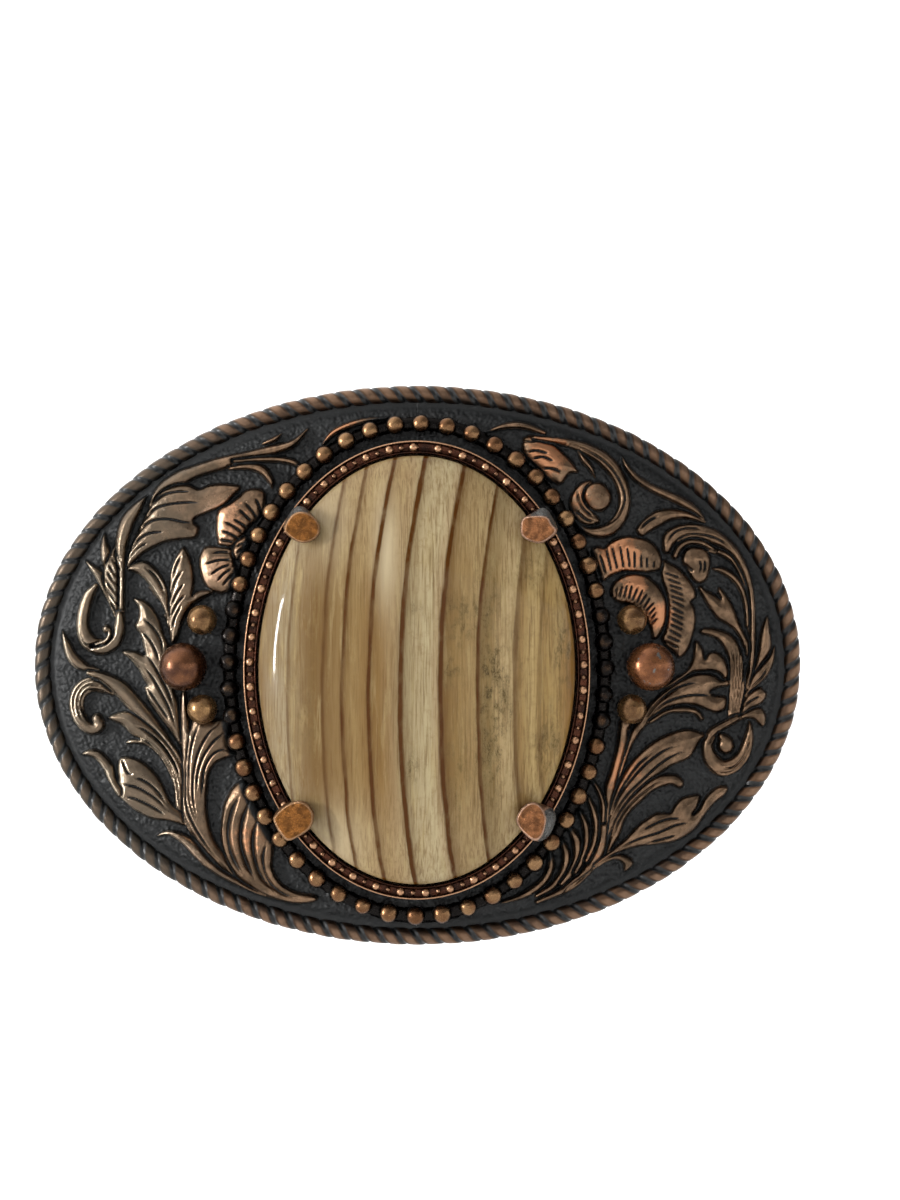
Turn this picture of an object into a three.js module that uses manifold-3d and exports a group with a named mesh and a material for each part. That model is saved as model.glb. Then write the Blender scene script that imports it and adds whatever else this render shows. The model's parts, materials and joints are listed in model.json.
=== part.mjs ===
// An oval western dress belt buckle: a domed plate with a rope border, an oval cabochon held by
// four claws in a beaded setting, six ball studs, and on the back a swinging bail and a hook.
// Millimetres. X runs along the belt, Z is up as worn, and the face looks towards -Y.
// The origin is the middle of the plate's back, where the buckle lies against the belt.
import * as THREE from "three";
import { mergeVertices } from "three/addons/utils/BufferGeometryUtils.js";
import Module from "manifold-3d";

const wasm = await Module();
wasm.setup();

// ---- Driving dimensions ----
const BUCKLE_WIDTH = 98;
const BUCKLE_HEIGHT = 70.8;
const ROPE_RADIUS = 1.1;
const PLATE_THICKNESS = 1.6;
const BEND_RADIUS_ALONG = 200; // the plate's curve round the waist
const BEND_RADIUS_UP = 450; // its slighter curve from top to bottom
const STONE_WIDTH = 39.6; // what shows of a standard 40 x 54 mm buckle cabochon
const STONE_HEIGHT = 53.6;
const STONE_GIRDLE = 1.6;
const STONE_DOME = 5.4;
const SETTING_WIDTH = 1.6; // the thickness of the wall round the stone
const SETTING_DROP = 0.5; // how far the stone and its setting sit below the plate's middle
const SETTING_TOP = -4.9;
const BORDER_BEADS = 52;
const BEAD_RADIUS = 1.15;
const STRAP_WIDTH = 38; // a 1 1/2 inch belt
const BAIL_WIRE_RADIUS = 1.2;
const BAIL_REACH = 13; // hinge axis to the bar that the strap folds round
const BAIL_AXIS_X = 21;
const BAIL_AXIS_LIFT = 4.6; // hinge axis above the plate's back
const HOOK_X = -37.5;
const GAP = 0.3; // left between pieces that are soldered or bedded together
const EYE_CLEARANCE = 0.2;

const ROPE_A = BUCKLE_WIDTH / 2 - ROPE_RADIUS;
const ROPE_B = BUCKLE_HEIGHT / 2 - ROPE_RADIUS;
const STONE_A = STONE_WIDTH / 2;
const STONE_B = STONE_HEIGHT / 2;
const SETTING_MID = GAP + SETTING_WIDTH / 2; // the setting's middle line, outside the stone's edge
const SETTING_A = STONE_A + SETTING_MID;
const SETTING_B = STONE_B + SETTING_MID;
const STRING_A = STONE_A + 3.9; // the string of border beads
const STRING_B = STONE_B + 4.2;
const BED_BACK = -PLATE_THICKNESS - GAP;
const BED_FRONT = BED_BACK - 1;
const STONE_BACK = BED_FRONT - GAP;
const STONE_SHOULDER = STONE_BACK - STONE_GIRDLE;

// Ball studs: place of the ball's middle, and its radius.
const LARGE_BALL = { x: 29.45, z: -0.15, radius: 3.05 };
const UPPER_BALL = { x: 27.1, z: 5.75, radius: 1.9 };
const LOWER_BALL = { x: 27.1, z: -5.5, radius: 1.9 };
const SHANK_RADIUS = 1;
const TAIL_RADIUS = 1.7;
const TAIL_THICKNESS = 0.7;

// Claws stand on the setting's middle line, at this share of its half width.
const CLAW_SHARE = 0.725;
const CLAW_FOOT_WIDTH = 3.4;
const CLAW_HEAD_WIDTH = 4.4;

// ---- Materials ----
const metal = (color, roughness) =>
  new THREE.MeshStandardMaterial({ color, roughness, metalness: 1 });
const agedCopper = metal(0x6e4a35, 0.42);
const brownCopper = metal(0x4a2c1e, 0.4);
const brightCopper = metal(0xa8633c, 0.32);
const darkPlate = metal(0x2c2b2a, 0.6);
const backMetal = metal(0x5a4636, 0.5);
const bandedStone = new THREE.MeshStandardMaterial({ color: 0xc3ab82, roughness: 0.15, metalness: 0 });
const bedding = new THREE.MeshStandardMaterial({ color: 0x6b5a42, roughness: 0.9, metalness: 0 });

// ---- Shape helpers ----

// How far the bent plate has gone back, towards the wearer, at x, z.
const bend = (x, z) => (x * x) / (2 * BEND_RADIUS_ALONG) + (z * z) / (2 * BEND_RADIUS_UP);

// Moves every vertex of a geometry through move(point).
function reshape(geometry, move) {
  const place = geometry.getAttribute("position");
  const point = new THREE.Vector3();
  for (let i = 0; i < place.count; i++) {
    point.fromBufferAttribute(place, i);
    move(point);
    place.setXYZ(i, point.x, point.y, point.z);
  }
  return geometry;
}

// A profile of [radius, y] pairs turned about Y. Profiles run from the back to the front.
function turned(profile, sectors) {
  const points = profile.map(([r, y]) => new THREE.Vector2(r, y));
  return new THREE.LatheGeometry(points.reverse(), sectors);
}

// A lens with an oval outline: the profile's radius is a share of the half axes a and b.
function ovalLens(profile, a, b, drop, sectors) {
  return reshape(turned(profile, sectors), (p) => {
    p.x *= a;
    p.z = p.z * b - drop;
  });
}

// An oval ring: the profile's radius is an offset out from the oval with half axes a and b.
function ovalRing(profile, a, b, drop, sectors) {
  const hub = 10;
  const shifted = profile.map(([offset, y]) => [hub + offset, y]);
  return reshape(turned(shifted, sectors), (p) => {
    const offset = Math.hypot(p.x, p.z) - hub;
    const t = Math.atan2(p.x, p.z);
    const on = ovalPoint(a, b, drop, t);
    p.x = on.x + offset * on.nx;
    p.z = on.z + offset * on.nz;
  });
}

// The point at angle t from the top of an oval whose middle is dropped, and the normal there.
function ovalPoint(a, b, drop, t) {
  const nx = b * Math.sin(t);
  const nz = a * Math.cos(t);
  const length = Math.hypot(nx, nz);
  return { x: a * Math.sin(t), z: b * Math.cos(t) - drop, nx: nx / length, nz: nz / length };
}

// Bends a geometry with the plate, wherever it lies further back than the level y = flatFrom.
function bendBehind(geometry, flatFrom) {
  return reshape(geometry, (p) => {
    if (p.y > flatFrom) p.y += bend(p.x, p.z);
  });
}
const bendAll = (geometry) => bendBehind(geometry, -Infinity);

// A round section of n points, as a closed profile of [offset, y] pairs.
function roundProfile(radius, y, n) {
  return Array.from({ length: n + 1 }, (_, i) => {
    const turn = (2 * Math.PI * (i % n)) / n;
    return [radius * Math.cos(turn), y - radius * Math.sin(turn)];
  });
}

function toSolid(geometry) {
  const shell = new THREE.BufferGeometry();
  const loose = geometry.index ? geometry.toNonIndexed() : geometry;
  shell.setAttribute("position", loose.getAttribute("position"));
  const merged = mergeVertices(shell, 1e-3);
  const corners = [];
  for (let i = 0; i < merged.index.count; i += 3) {
    const [p, q, r] = merged.index.array.slice(i, i + 3);
    if (p !== q && q !== r && r !== p) corners.push(p, q, r);
  }
  const vertProperties = merged.getAttribute("position").array;
  return new wasm.Manifold(new wasm.Mesh({ numProp: 3, vertProperties, triVerts: new Uint32Array(corners) }));
}

function fromSolid(solid) {
  const { vertProperties, triVerts } = solid.getMesh();
  const geometry = new THREE.BufferGeometry();
  geometry.setAttribute("position", new THREE.BufferAttribute(vertProperties, 3));
  geometry.setIndex(new THREE.BufferAttribute(triVerts, 1));
  geometry.computeVertexNormals();
  return geometry;
}

const buckle = new THREE.Group();
function add(name, geometry, material, parent = buckle) {
  const mesh = new THREE.Mesh(geometry, material);
  mesh.name = name;
  parent.add(mesh);
  return mesh;
}

// ---- The face ----

// The six studs, with signs for left or right and up or down.
const studs = [-1, 1].flatMap((side) => {
  const word = side < 0 ? "left" : "right";
  return [
    { name: `large_ball_${word}`, ...LARGE_BALL, x: side * LARGE_BALL.x },
    { name: `small_ball_upper_${word}`, ...UPPER_BALL, x: side * UPPER_BALL.x },
    { name: `small_ball_lower_${word}`, ...LOWER_BALL, x: side * LOWER_BALL.x },
  ];
});

// The domed plate, bored for the shanks of the studs.
function facePlate() {
  const a = ROPE_A - ROPE_RADIUS - GAP;
  const b = ROPE_B - ROPE_RADIUS - GAP;
  const rings = [0, 0.25, 0.5, 0.75, 1];
  const back = rings.map((share) => [share, 0]);
  const front = rings.map((share) => [share, -PLATE_THICKNESS]).reverse();
  let plate = toSolid(bendAll(ovalLens([...back, ...front], a, b, 0, 60)));
  for (const stud of studs) {
    const drill = new THREE.CylinderGeometry(SHANK_RADIUS + GAP, SHANK_RADIUS + GAP, 12, 12);
    drill.translate(stud.x, 0, stud.z);
    plate = plate.subtract(toSolid(drill));
  }
  return fromSolid(plate);
}

// The rope that edges the plate, round in section.
function ropeBorder() {
  const section = roundProfile(ROPE_RADIUS, -PLATE_THICKNESS / 2, 8);
  return bendAll(ovalRing(section, ROPE_A, ROPE_B, 0, 80));
}

// The string of beads, joined by the thin strip that they stand on.
function beadBorder() {
  const front = -PLATE_THICKNESS - GAP;
  const strip = [[-0.8, front], [0.8, front], [0.6, front - 0.6], [-0.6, front - 0.6], [-0.8, front]];
  let border = toSolid(bendAll(ovalRing(strip, STRING_A, STRING_B, SETTING_DROP, BORDER_BEADS)));
  for (const on of evenlyRound(STRING_A, STRING_B, SETTING_DROP, BORDER_BEADS)) {
    const bead = new THREE.SphereGeometry(BEAD_RADIUS, 6, 5);
    bead.translate(on.x, front - 1.2 + bend(on.x, on.z), on.z);
    border = border.add(toSolid(bead));
  }
  return fromSolid(border);
}

// Points spaced evenly along an oval, from its top.
function evenlyRound(a, b, drop, count) {
  const fine = 2000;
  const along = [0];
  for (let i = 1; i <= fine; i++) {
    const p = ovalPoint(a, b, drop, (2 * Math.PI * (i - 1)) / fine);
    const q = ovalPoint(a, b, drop, (2 * Math.PI * i) / fine);
    along.push(along[i - 1] + Math.hypot(q.x - p.x, q.z - p.z));
  }
  return Array.from({ length: count }, (_, k) => {
    const wanted = (along[fine] * k) / count;
    const step = along.findIndex((length) => length >= wanted);
    return ovalPoint(a, b, drop, (2 * Math.PI * step) / fine);
  });
}

// A stud turned in one piece: ball, shank through the plate, and peened tail.
function ballStud(stud) {
  const hole = bend(stud.x, stud.z);
  const front = hole - PLATE_THICKNESS;
  const middle = front - stud.radius * 0.8;
  const seat = front - GAP;
  const low = Math.asin((seat - middle) / stud.radius);
  const ball = Array.from({ length: 8 }, (_, i) => {
    const turn = low - ((low + Math.PI / 2) * i) / 7;
    return [stud.radius * Math.cos(turn), middle + stud.radius * Math.sin(turn)];
  });
  ball[7][0] = 0;
  const tailFront = hole + GAP;
  const tail = [
    [0, tailFront + TAIL_THICKNESS],
    [TAIL_RADIUS * 0.7, tailFront + TAIL_THICKNESS],
    [TAIL_RADIUS, tailFront + TAIL_THICKNESS / 2],
    [TAIL_RADIUS, tailFront],
    [SHANK_RADIUS, tailFront],
    [SHANK_RADIUS, seat],
  ];
  return turned([...tail, ...ball], 12);
}

// ---- The stone and its setting ----

const claws = [
  { name: "claw_upper_left", side: -1, up: 1 },
  { name: "claw_upper_right", side: 1, up: 1 },
  { name: "claw_lower_left", side: -1, up: -1 },
  { name: "claw_lower_right", side: 1, up: -1 },
].map(({ name, side, up }) => {
  const lean = Math.asin(CLAW_SHARE);
  const angle = side * (up > 0 ? lean : Math.PI - lean);
  return { name, on: ovalPoint(SETTING_A, SETTING_B, SETTING_DROP, angle) };
});

// Puts an object built in a claw's own frame, +X outward and Z along the setting, in its place.
function placeAtClaw(object, on) {
  object.position.set(on.x, 0, on.z);
  object.rotation.y = Math.atan2(-on.nz, on.nx);
  object.updateMatrix();
  return object;
}

// The oval wall round the stone, with a channel along its top and a notch for each claw.
function settingRing() {
  const half = SETTING_WIDTH / 2;
  const foot = -PLATE_THICKNESS - GAP;
  const channel = SETTING_TOP + 0.4;
  const section = [
    [-half, foot],
    [half, foot],
    [half, SETTING_TOP],
    [half - 0.25, SETTING_TOP],
    [half - 0.3, channel],
    [-half + 0.3, channel],
    [-half + 0.25, SETTING_TOP],
    [-half, SETTING_TOP],
    [-half, foot],
  ];
  let ring = toSolid(bendBehind(ovalRing(section, SETTING_A, SETTING_B, SETTING_DROP, 60), foot - 0.01));
  for (const claw of claws) {
    const notch = new THREE.Mesh(new THREE.BoxGeometry(3, 8, CLAW_FOOT_WIDTH + 2 * GAP));
    notch.geometry.translate(1.5 - 0.1, -4, 0);
    placeAtClaw(notch, claw.on);
    ring = ring.subtract(toSolid(notch.geometry.applyMatrix4(notch.matrix)));
  }
  return fromSolid(ring);
}

// A claw: its foot stands in the setting's notch, and its head is bent in over the stone.
function clawGeometry(on) {
  const foot = bend(on.x, on.z) - PLATE_THICKNESS - GAP;
  const shape = new THREE.Shape();
  shape.moveTo(0.2, foot);
  shape.lineTo(1, foot);
  shape.lineTo(1.15, SETTING_TOP - 0.4);
  shape.quadraticCurveTo(2.1, SETTING_TOP - 2.6, 0, SETTING_TOP - 3.6);
  shape.quadraticCurveTo(-2.4, SETTING_TOP - 4.6, -2.7, SETTING_TOP - 2.9);
  shape.lineTo(-0.9, SETTING_TOP - 1.9);
  shape.lineTo(0.2, SETTING_TOP - 1.1);
  shape.lineTo(0.2, SETTING_TOP - 0.4);
  const settings = { depth: CLAW_HEAD_WIDTH, bevelEnabled: false, curveSegments: 4 };
  const claw = new THREE.ExtrudeGeometry(shape, settings).translate(0, 0, -CLAW_HEAD_WIDTH / 2);
  // The foot is narrower than the head.
  return reshape(claw, (p) => {
    if (p.y > SETTING_TOP - 0.45) p.z *= CLAW_FOOT_WIDTH / CLAW_HEAD_WIDTH;
  });
}

// How far the stone's surface stands in front of its shoulder, at a share of its half axis.
const stoneRise = (share) => STONE_DOME * Math.pow(1 - Math.pow(share, 2.6), 0.62);

function cabochonStone() {
  const shares = [1, 0.985, 0.95, 0.88, 0.78, 0.62, 0.4, 0.2, 0];
  const dome = shares.map((share) => [share, STONE_SHOULDER - stoneRise(share)]);
  const bevel = [[0, STONE_BACK], [0.97, STONE_BACK], [1, STONE_BACK - 0.5]];
  return ovalLens([...bevel, ...dome], STONE_A, STONE_B, SETTING_DROP, 56);
}

// The bed that levels the flat back of the stone on the curved plate.
function stoneBed() {
  const shares = [0, 0.5, 1];
  const back = shares.map((share) => [share, BED_BACK]);
  const profile = [...back, [1, BED_FRONT], [0, BED_FRONT]];
  const bed = ovalLens(profile, STONE_A - 0.6, STONE_B - 0.6, SETTING_DROP, 40);
  return bendBehind(bed, BED_BACK - 0.01);
}

// ---- The back ----

const BAIL_AXIS_Y = bend(BAIL_AXIS_X, 0) + BAIL_AXIS_LIFT;
const ARM_Z = STRAP_WIDTH / 2 + 1 + BAIL_WIRE_RADIUS; // middle of each of the bail's arms
const LUG_Z = 18;
const LUG_THICKNESS = 2.6;
const PIN_END_Z = LUG_Z - LUG_THICKNESS / 2 - 0.7;

// The bail: one wire bent into three sides of a rectangle, its ends turned in to the two lugs.
function beltBail() {
  const corner = 2.6;
  const far = BAIL_AXIS_X + BAIL_REACH;
  const at = (x, z) => new THREE.Vector3(x, BAIL_AXIS_Y, z);
  const path = new THREE.CurvePath();
  const outline = [
    at(BAIL_AXIS_X, PIN_END_Z),
    at(BAIL_AXIS_X, ARM_Z),
    at(far, ARM_Z),
    at(far, -ARM_Z),
    at(BAIL_AXIS_X, -ARM_Z),
    at(BAIL_AXIS_X, -PIN_END_Z),
  ];
  // Each inner point of the outline becomes a rounded corner between two straight runs.
  let start = outline[0];
  for (let i = 1; i < outline.length - 1; i++) {
    const towards = (end, length) => end.clone().sub(outline[i]).setLength(length).add(outline[i]);
    const enter = towards(outline[i - 1], corner);
    const leave = towards(outline[i + 1], corner);
    path.add(new THREE.LineCurve3(start, enter));
    path.add(new THREE.QuadraticBezierCurve3(enter, outline[i], leave));
    start = leave;
  }
  path.add(new THREE.LineCurve3(start, outline.at(-1)));
  const section = new THREE.Shape();
  for (let i = 0; i < 8; i++) {
    const turn = ((i + 0.5) * Math.PI) / 4;
    const x = BAIL_WIRE_RADIUS * Math.cos(turn);
    const y = BAIL_WIRE_RADIUS * Math.sin(turn);
    if (i === 0) section.moveTo(x, y);
    else section.lineTo(x, y);
  }
  return new THREE.ExtrudeGeometry(section, { steps: 48, extrudePath: path });
}

// A lug: a soldered ear with the eye that the bail's pin turns in.
function bailLug() {
  const reach = 3.4;
  const ear = 2.6;
  const root = (x) => bend(x, LUG_Z) + GAP + 0.15;
  const shape = new THREE.Shape();
  shape.moveTo(BAIL_AXIS_X - reach, root(BAIL_AXIS_X - reach));
  shape.lineTo(BAIL_AXIS_X + reach, root(BAIL_AXIS_X + reach));
  shape.lineTo(BAIL_AXIS_X + ear, BAIL_AXIS_Y);
  shape.absarc(BAIL_AXIS_X, BAIL_AXIS_Y, ear, 0, Math.PI, false);
  const eye = new THREE.Path();
  eye.absarc(BAIL_AXIS_X, BAIL_AXIS_Y, BAIL_WIRE_RADIUS + EYE_CLEARANCE, 0, 2 * Math.PI, true);
  shape.holes.push(eye);
  const settings = { depth: LUG_THICKNESS, bevelEnabled: false, curveSegments: 8 };
  return new THREE.ExtrudeGeometry(shape, settings).translate(0, 0, -LUG_THICKNESS / 2);
}

// The hook stands square to the plate, so it leans towards the middle and keeps the belt on.
function addHook() {
  const corner = new THREE.Group();
  corner.position.set(HOOK_X, bend(HOOK_X, 0), 0);
  corner.rotation.z = Math.atan2(HOOK_X, BEND_RADIUS_ALONG);
  buckle.add(corner);
  const baseTop = GAP + 1.1;
  const base = [[0, baseTop], [3.4, baseTop], [4.2, baseTop - 0.7], [4.2, GAP], [0, GAP]];
  add("hook_base", turned(base, 24), backMetal, corner);
  const foot = baseTop + GAP;
  const hook = [
    [0, foot + 8.4],
    [1.6, foot + 8.4],
    [2.1, foot + 7.9],
    [2.35, foot + 7.1],
    [2, foot + 6.2],
    [1.5, foot + 5.5],
    [1.5, foot + 1.2],
    [1.9, foot + 0.5],
    [2.6, foot],
    [0, foot],
  ];
  add("belt_hook", turned(hook, 18), backMetal, corner);
}

// ---- Assembly ----
add("face_plate", facePlate(), darkPlate);
add("rope_border", ropeBorder(), agedCopper);
add("bead_border", beadBorder(), agedCopper);
for (const stud of studs) {
  add(stud.name, ballStud(stud), brightCopper).position.set(stud.x, 0, stud.z);
}
add("setting_ring", settingRing(), brownCopper);
for (const claw of claws) placeAtClaw(add(claw.name, clawGeometry(claw.on), brightCopper), claw.on);
add("cabochon_stone", cabochonStone(), bandedStone);
add("stone_bed", stoneBed(), bedding);
add("belt_bail", beltBail(), backMetal);
add("bail_lug_upper", bailLug(), backMetal).position.z = LUG_Z;
add("bail_lug_lower", bailLug(), backMetal).position.z = -LUG_Z;
addHook();

export default buckle;
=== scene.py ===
"""Looks of the western belt buckle: antiqued copper scrollwork, a rope edge, beads and a banded stone."""
import json
import math

import bmesh
import bpy
import numpy as np
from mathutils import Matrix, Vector


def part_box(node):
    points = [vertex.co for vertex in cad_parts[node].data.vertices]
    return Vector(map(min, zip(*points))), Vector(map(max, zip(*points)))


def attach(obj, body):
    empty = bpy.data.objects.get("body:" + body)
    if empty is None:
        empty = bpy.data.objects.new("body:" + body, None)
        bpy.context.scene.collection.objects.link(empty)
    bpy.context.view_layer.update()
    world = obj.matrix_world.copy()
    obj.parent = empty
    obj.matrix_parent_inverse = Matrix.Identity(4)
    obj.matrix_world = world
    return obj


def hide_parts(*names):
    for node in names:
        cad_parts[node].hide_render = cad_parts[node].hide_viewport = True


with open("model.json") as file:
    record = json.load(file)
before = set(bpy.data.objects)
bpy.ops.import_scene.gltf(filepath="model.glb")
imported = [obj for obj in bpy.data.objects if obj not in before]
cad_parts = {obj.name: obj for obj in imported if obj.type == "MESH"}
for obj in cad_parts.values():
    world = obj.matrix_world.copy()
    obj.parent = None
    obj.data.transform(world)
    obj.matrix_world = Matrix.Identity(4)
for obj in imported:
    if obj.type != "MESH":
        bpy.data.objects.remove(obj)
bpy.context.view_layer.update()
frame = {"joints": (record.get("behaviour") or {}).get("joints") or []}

MM = 0.001
FULL_TURN = 2 * math.pi
RNG = np.random.default_rng(11)


def corners_of(node):
    """A CAD node's lowest and highest corners at rest, in millimetres."""
    return [np.round(np.array(corner) / MM, 4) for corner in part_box(node)]


def centre_of(node):
    """The X and Z of a CAD node's middle."""
    low, high = corners_of(node)
    return (low[0] + high[0]) / 2, (low[2] + high[2]) / 2


def half_size_of(node):
    """Half a CAD node's size along X and along Z."""
    low, high = corners_of(node)
    return (high[0] - low[0]) / 2, (high[2] - low[2]) / 2


# Plate (millimetres; the face looks towards -Y and the middle of the back is the origin)
BEND_X = 400.0
BEND_Z = 900.0
PLATE_FRONT = corners_of("face_plate")[0][1]
PLATE_X, PLATE_Z = half_size_of("face_plate")
# Carved skins that lie on the plate, and the oval hole that they leave for the stone
CARVED_X = 48.2        # half the size of the carved area, as the camera sees it
CARVED_Z = 34.4
SKIN_X = 47.2
SKIN_Z = 33.6
SKIN_FOOT = -0.4       # where their rims end, measured from the plate's back
SKIN_SEAM = 0.07       # how far each half reaches past the middle
HOLE_X = 20.6
HOLE_Z = 27.6
# Rope round the edge
ROPE_X = 47.9
ROPE_Z = 34.3
ROPE_RADIUS = 1.1
ROPE_MIDDLE = -0.8
ROPE_LOBES = 112
# Setting and stone. Their middle is SETTING_DROP above the plate's.
SETTING_DROP = centre_of("cabochon_stone")[1]
RING_X = 20.9
RING_Z = 27.9
RING_FOOT = -1.9
RING_BEADS = 49
RING_BEAD_SIZES = (0.52, 0.6)
RING_SMALL_SIZES = (0.28, 0.36)
BED_X, BED_Z = half_size_of("stone_bed")
BEADS_X = 23.7
BEADS_Z = 31.0
BEADS = 52
BEAD_RADIUS = 1.15
BEAD_MIDDLE = -3.1
STONE_X, STONE_Z = half_size_of("cabochon_stone")
STONE_BACK = corners_of("cabochon_stone")[1][1]
STONE_SHOULDER = -4.8
STONE_RISE = 5.4
LARGE_BALL_RADIUS = 3.05
SMALL_BALL_RADIUS = 1.9
# Bail, lugs and hook on the back
HINGE_X, HINGE_Y, _ = [round(at / MM, 4) for at in frame["joints"][0]["pos_m"]]
BAIL_WIRE = 1.2
BAIL_BAR = 34.0
BAIL_ARM = 21.2
BAIL_CORNER = 2.6
BAIL_END = 16.0
HOOK_X = -37.5
HOOK_LEAN = math.radians(-10.62)
# Camera, and how much nearer its axis a raised point is than it looks on the plane of the plate
CAMERA_X = 4.16
CAMERA_Z = 8.26
CAMERA_AWAY = 420.0
CAMERA_LENS = 99.6
CAMERA_SENSOR = 36.0
RELIEF_SCALE = 0.989
CLAW_SCALE = 0.967


def bend(x, z):
    """How far the plate curves back at a place, in millimetres."""
    return x * x / BEND_X + z * z / BEND_Z


def smooth(low, high, value):
    """A soft step from 0 to 1 between two values."""
    t = np.clip((value - low) / (high - low), 0, 1)
    return t * t * (3 - 2 * t)


def nearer_axis(x, z, scale):
    """Where a raised point is, from where the camera sees it on the plane of the plate."""
    return CAMERA_X + (x - CAMERA_X) * scale, CAMERA_Z + (z - CAMERA_Z) * scale


def turns(count, start=0.0):
    """Evenly spaced angles round a full turn."""
    return np.arange(count) / count * FULL_TURN + start


# ---------------------------------------------------------------- meshes

class Solid:
    """Vertices and faces in millimetres, gathered part by part and then made into one Blender object."""

    def __init__(self, *part):
        self.verts = []
        self.faces = []
        self.marks = []
        self.count = 0
        if part:
            self.add(*part)

    def add(self, verts, faces, mark=0.0):
        verts = np.asarray(verts, float)
        self.verts.append(verts)
        self.faces.extend([[i + self.count for i in f] for f in faces])
        self.marks.append(np.broadcast_to(np.asarray(mark, float), (len(verts),)))
        self.count += len(verts)

    def make(self, name, material, body, slot, *nodes):
        verts = np.vstack(self.verts)
        obj = new_object(name, verts, self.faces, material)
        put_attribute(obj, "mark", np.concatenate(self.marks))
        settle(obj, body, slot, *nodes)
        turn_out(obj)


def new_object(name, verts, faces, material):
    mesh = bpy.data.meshes.new(name)
    mesh.from_pydata((np.asarray(verts) * MM).tolist(), [], faces)
    mesh.polygons.foreach_set("use_smooth", [True] * len(mesh.polygons))
    mesh.materials.append(material)
    mesh.update()
    obj = bpy.data.objects.new(name, mesh)
    bpy.context.scene.collection.objects.link(obj)
    return obj


def put_attribute(obj, name, values):
    layer = obj.data.attributes.new(name, "FLOAT", "POINT")
    layer.data.foreach_set("value", np.asarray(values, np.float32).ravel())


def settle(obj, body, slot, *nodes):
    """Puts a piece on its body and hides the CAD nodes that it stands for. Its slot is not used."""
    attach(obj, body)
    if nodes:
        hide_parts(*nodes)


def turn_out(obj):
    """Makes every face of a closed piece point outwards."""
    bm = bmesh.new()
    bm.from_mesh(obj.data)
    bmesh.ops.recalc_face_normals(bm, faces=bm.faces)
    bm.to_mesh(obj.data)
    bm.free()


def grid_faces(rows, columns, wrap_rows=False, wrap_columns=False):
    """Quads of a grid of rows by columns of points, numbered row by row."""
    faces = []
    for i in range(rows if wrap_rows else rows - 1):
        for j in range(columns if wrap_columns else columns - 1):
            a = i * columns + j
            b = i * columns + (j + 1) % columns
            c = (i + 1) % rows * columns + (j + 1) % columns
            d = (i + 1) % rows * columns + j
            faces.append([a, b, c, d])
    return faces


def capped_faces(rings, spokes):
    """Faces along a run of closed rings with spokes points each, and one over each end."""
    faces = grid_faces(rings, spokes, wrap_columns=True)
    faces.append(list(range(spokes))[::-1])
    faces.append([(rings - 1) * spokes + j for j in range(spokes)])
    return faces


def round_ellipse(half_x, half_z, count, middle_z=0.0, start=0.0):
    """Evenly spaced points of an ellipse, clockwise from the top as seen from the front, and its outward
    direction at each of them."""
    t = np.linspace(0, FULL_TURN, 4001)
    x = half_x * np.sin(t)
    z = half_z * np.cos(t)
    along = np.concatenate([[0], np.cumsum(np.hypot(np.diff(x), np.diff(z)))])
    want = (np.arange(count) + start) / count * along[-1]
    at = np.interp(want, along, t)
    px = half_x * np.sin(at)
    pz = half_z * np.cos(at)
    nx = np.sin(at) / half_x
    nz = np.cos(at) / half_z
    size = np.hypot(nx, nz)
    return px, pz + middle_z, nx / size, nz / size


def unit_ball(detail):
    bm = bmesh.new()
    bmesh.ops.create_icosphere(bm, subdivisions=detail, radius=1.0)
    verts = np.array([v.co[:] for v in bm.verts])
    faces = [[v.index for v in f.verts] for f in bm.faces]
    bm.free()
    return verts, faces


def cast_bead(ball, radius, centre, wobble):
    """A ball that is a little uneven, as cast beads are."""
    verts = ball[0]
    push = RNG.normal(size=3)
    lean = RNG.normal(size=3)
    swell = 1 + wobble * (np.sin(verts @ push * 1.6) + 0.6 * np.sin(verts @ lean * 2.7 + 1))
    return verts * radius * swell[:, None] + np.asarray(centre)


def lathe(profile, segments, at=(0.0, 0.0, 0.0), lean=0.0):
    """A closed turned shape about an axis along Y that leans in the XY plane. The profile is (radius, y)
    from one end of the axis to the other."""
    rings = [[(r * math.cos(a), y, r * math.sin(a)) for a in turns(segments)] for r, y in profile[1:-1]]
    verts = [(0, profile[0][1], 0)] + [p for ring in rings for p in ring] + [(0, profile[-1][1], 0)]
    verts = np.array(verts, float)
    faces = [[1 + a for a in f] for f in grid_faces(len(rings), segments, wrap_columns=True)]
    last = len(verts) - 1
    for j in range(segments):
        k = (j + 1) % segments
        faces.append([0, 1 + k, 1 + j])
        faces.append([last, last - segments + j, last - segments + k])
    c, s = math.cos(lean), math.sin(lean)
    x = verts[:, 0] * c - verts[:, 1] * s
    y = verts[:, 0] * s + verts[:, 1] * c
    return np.column_stack([x, y, verts[:, 2]]) + np.asarray(at), faces


def arc(radius, middle, start, end, steps):
    """Points (radius, y) of a ball's profile, by angle from the -Y end of its axis."""
    out = []
    for i in range(steps + 1):
        a = math.radians(start + (end - start) * i / steps)
        out.append((radius * math.sin(a), middle - radius * math.cos(a)))
    return out


def ring_sweep(half_x, half_z, profile, count, middle_z=0.0, follow=()):
    """A closed section swept round an ellipse. The profile is (offset outwards, y).
    Section points whose number is in follow take the plate's curve too."""
    px, pz, nx, nz = round_ellipse(half_x, half_z, count, middle_z)
    rows = []
    for i in range(count):
        for j, (out, y) in enumerate(profile):
            x = px[i] + nx[i] * out
            z = pz[i] + nz[i] * out
            rows.append((x, y + (bend(x, z) if j in follow else 0), z))
    return rows, grid_faces(count, len(profile), wrap_rows=True, wrap_columns=True)


# A wire's rounded end: distance from the end, and share of the wire's radius
ROUND_END = [(0.0, 0.35), (0.12, 0.72), (0.4, 1.0)]


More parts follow.
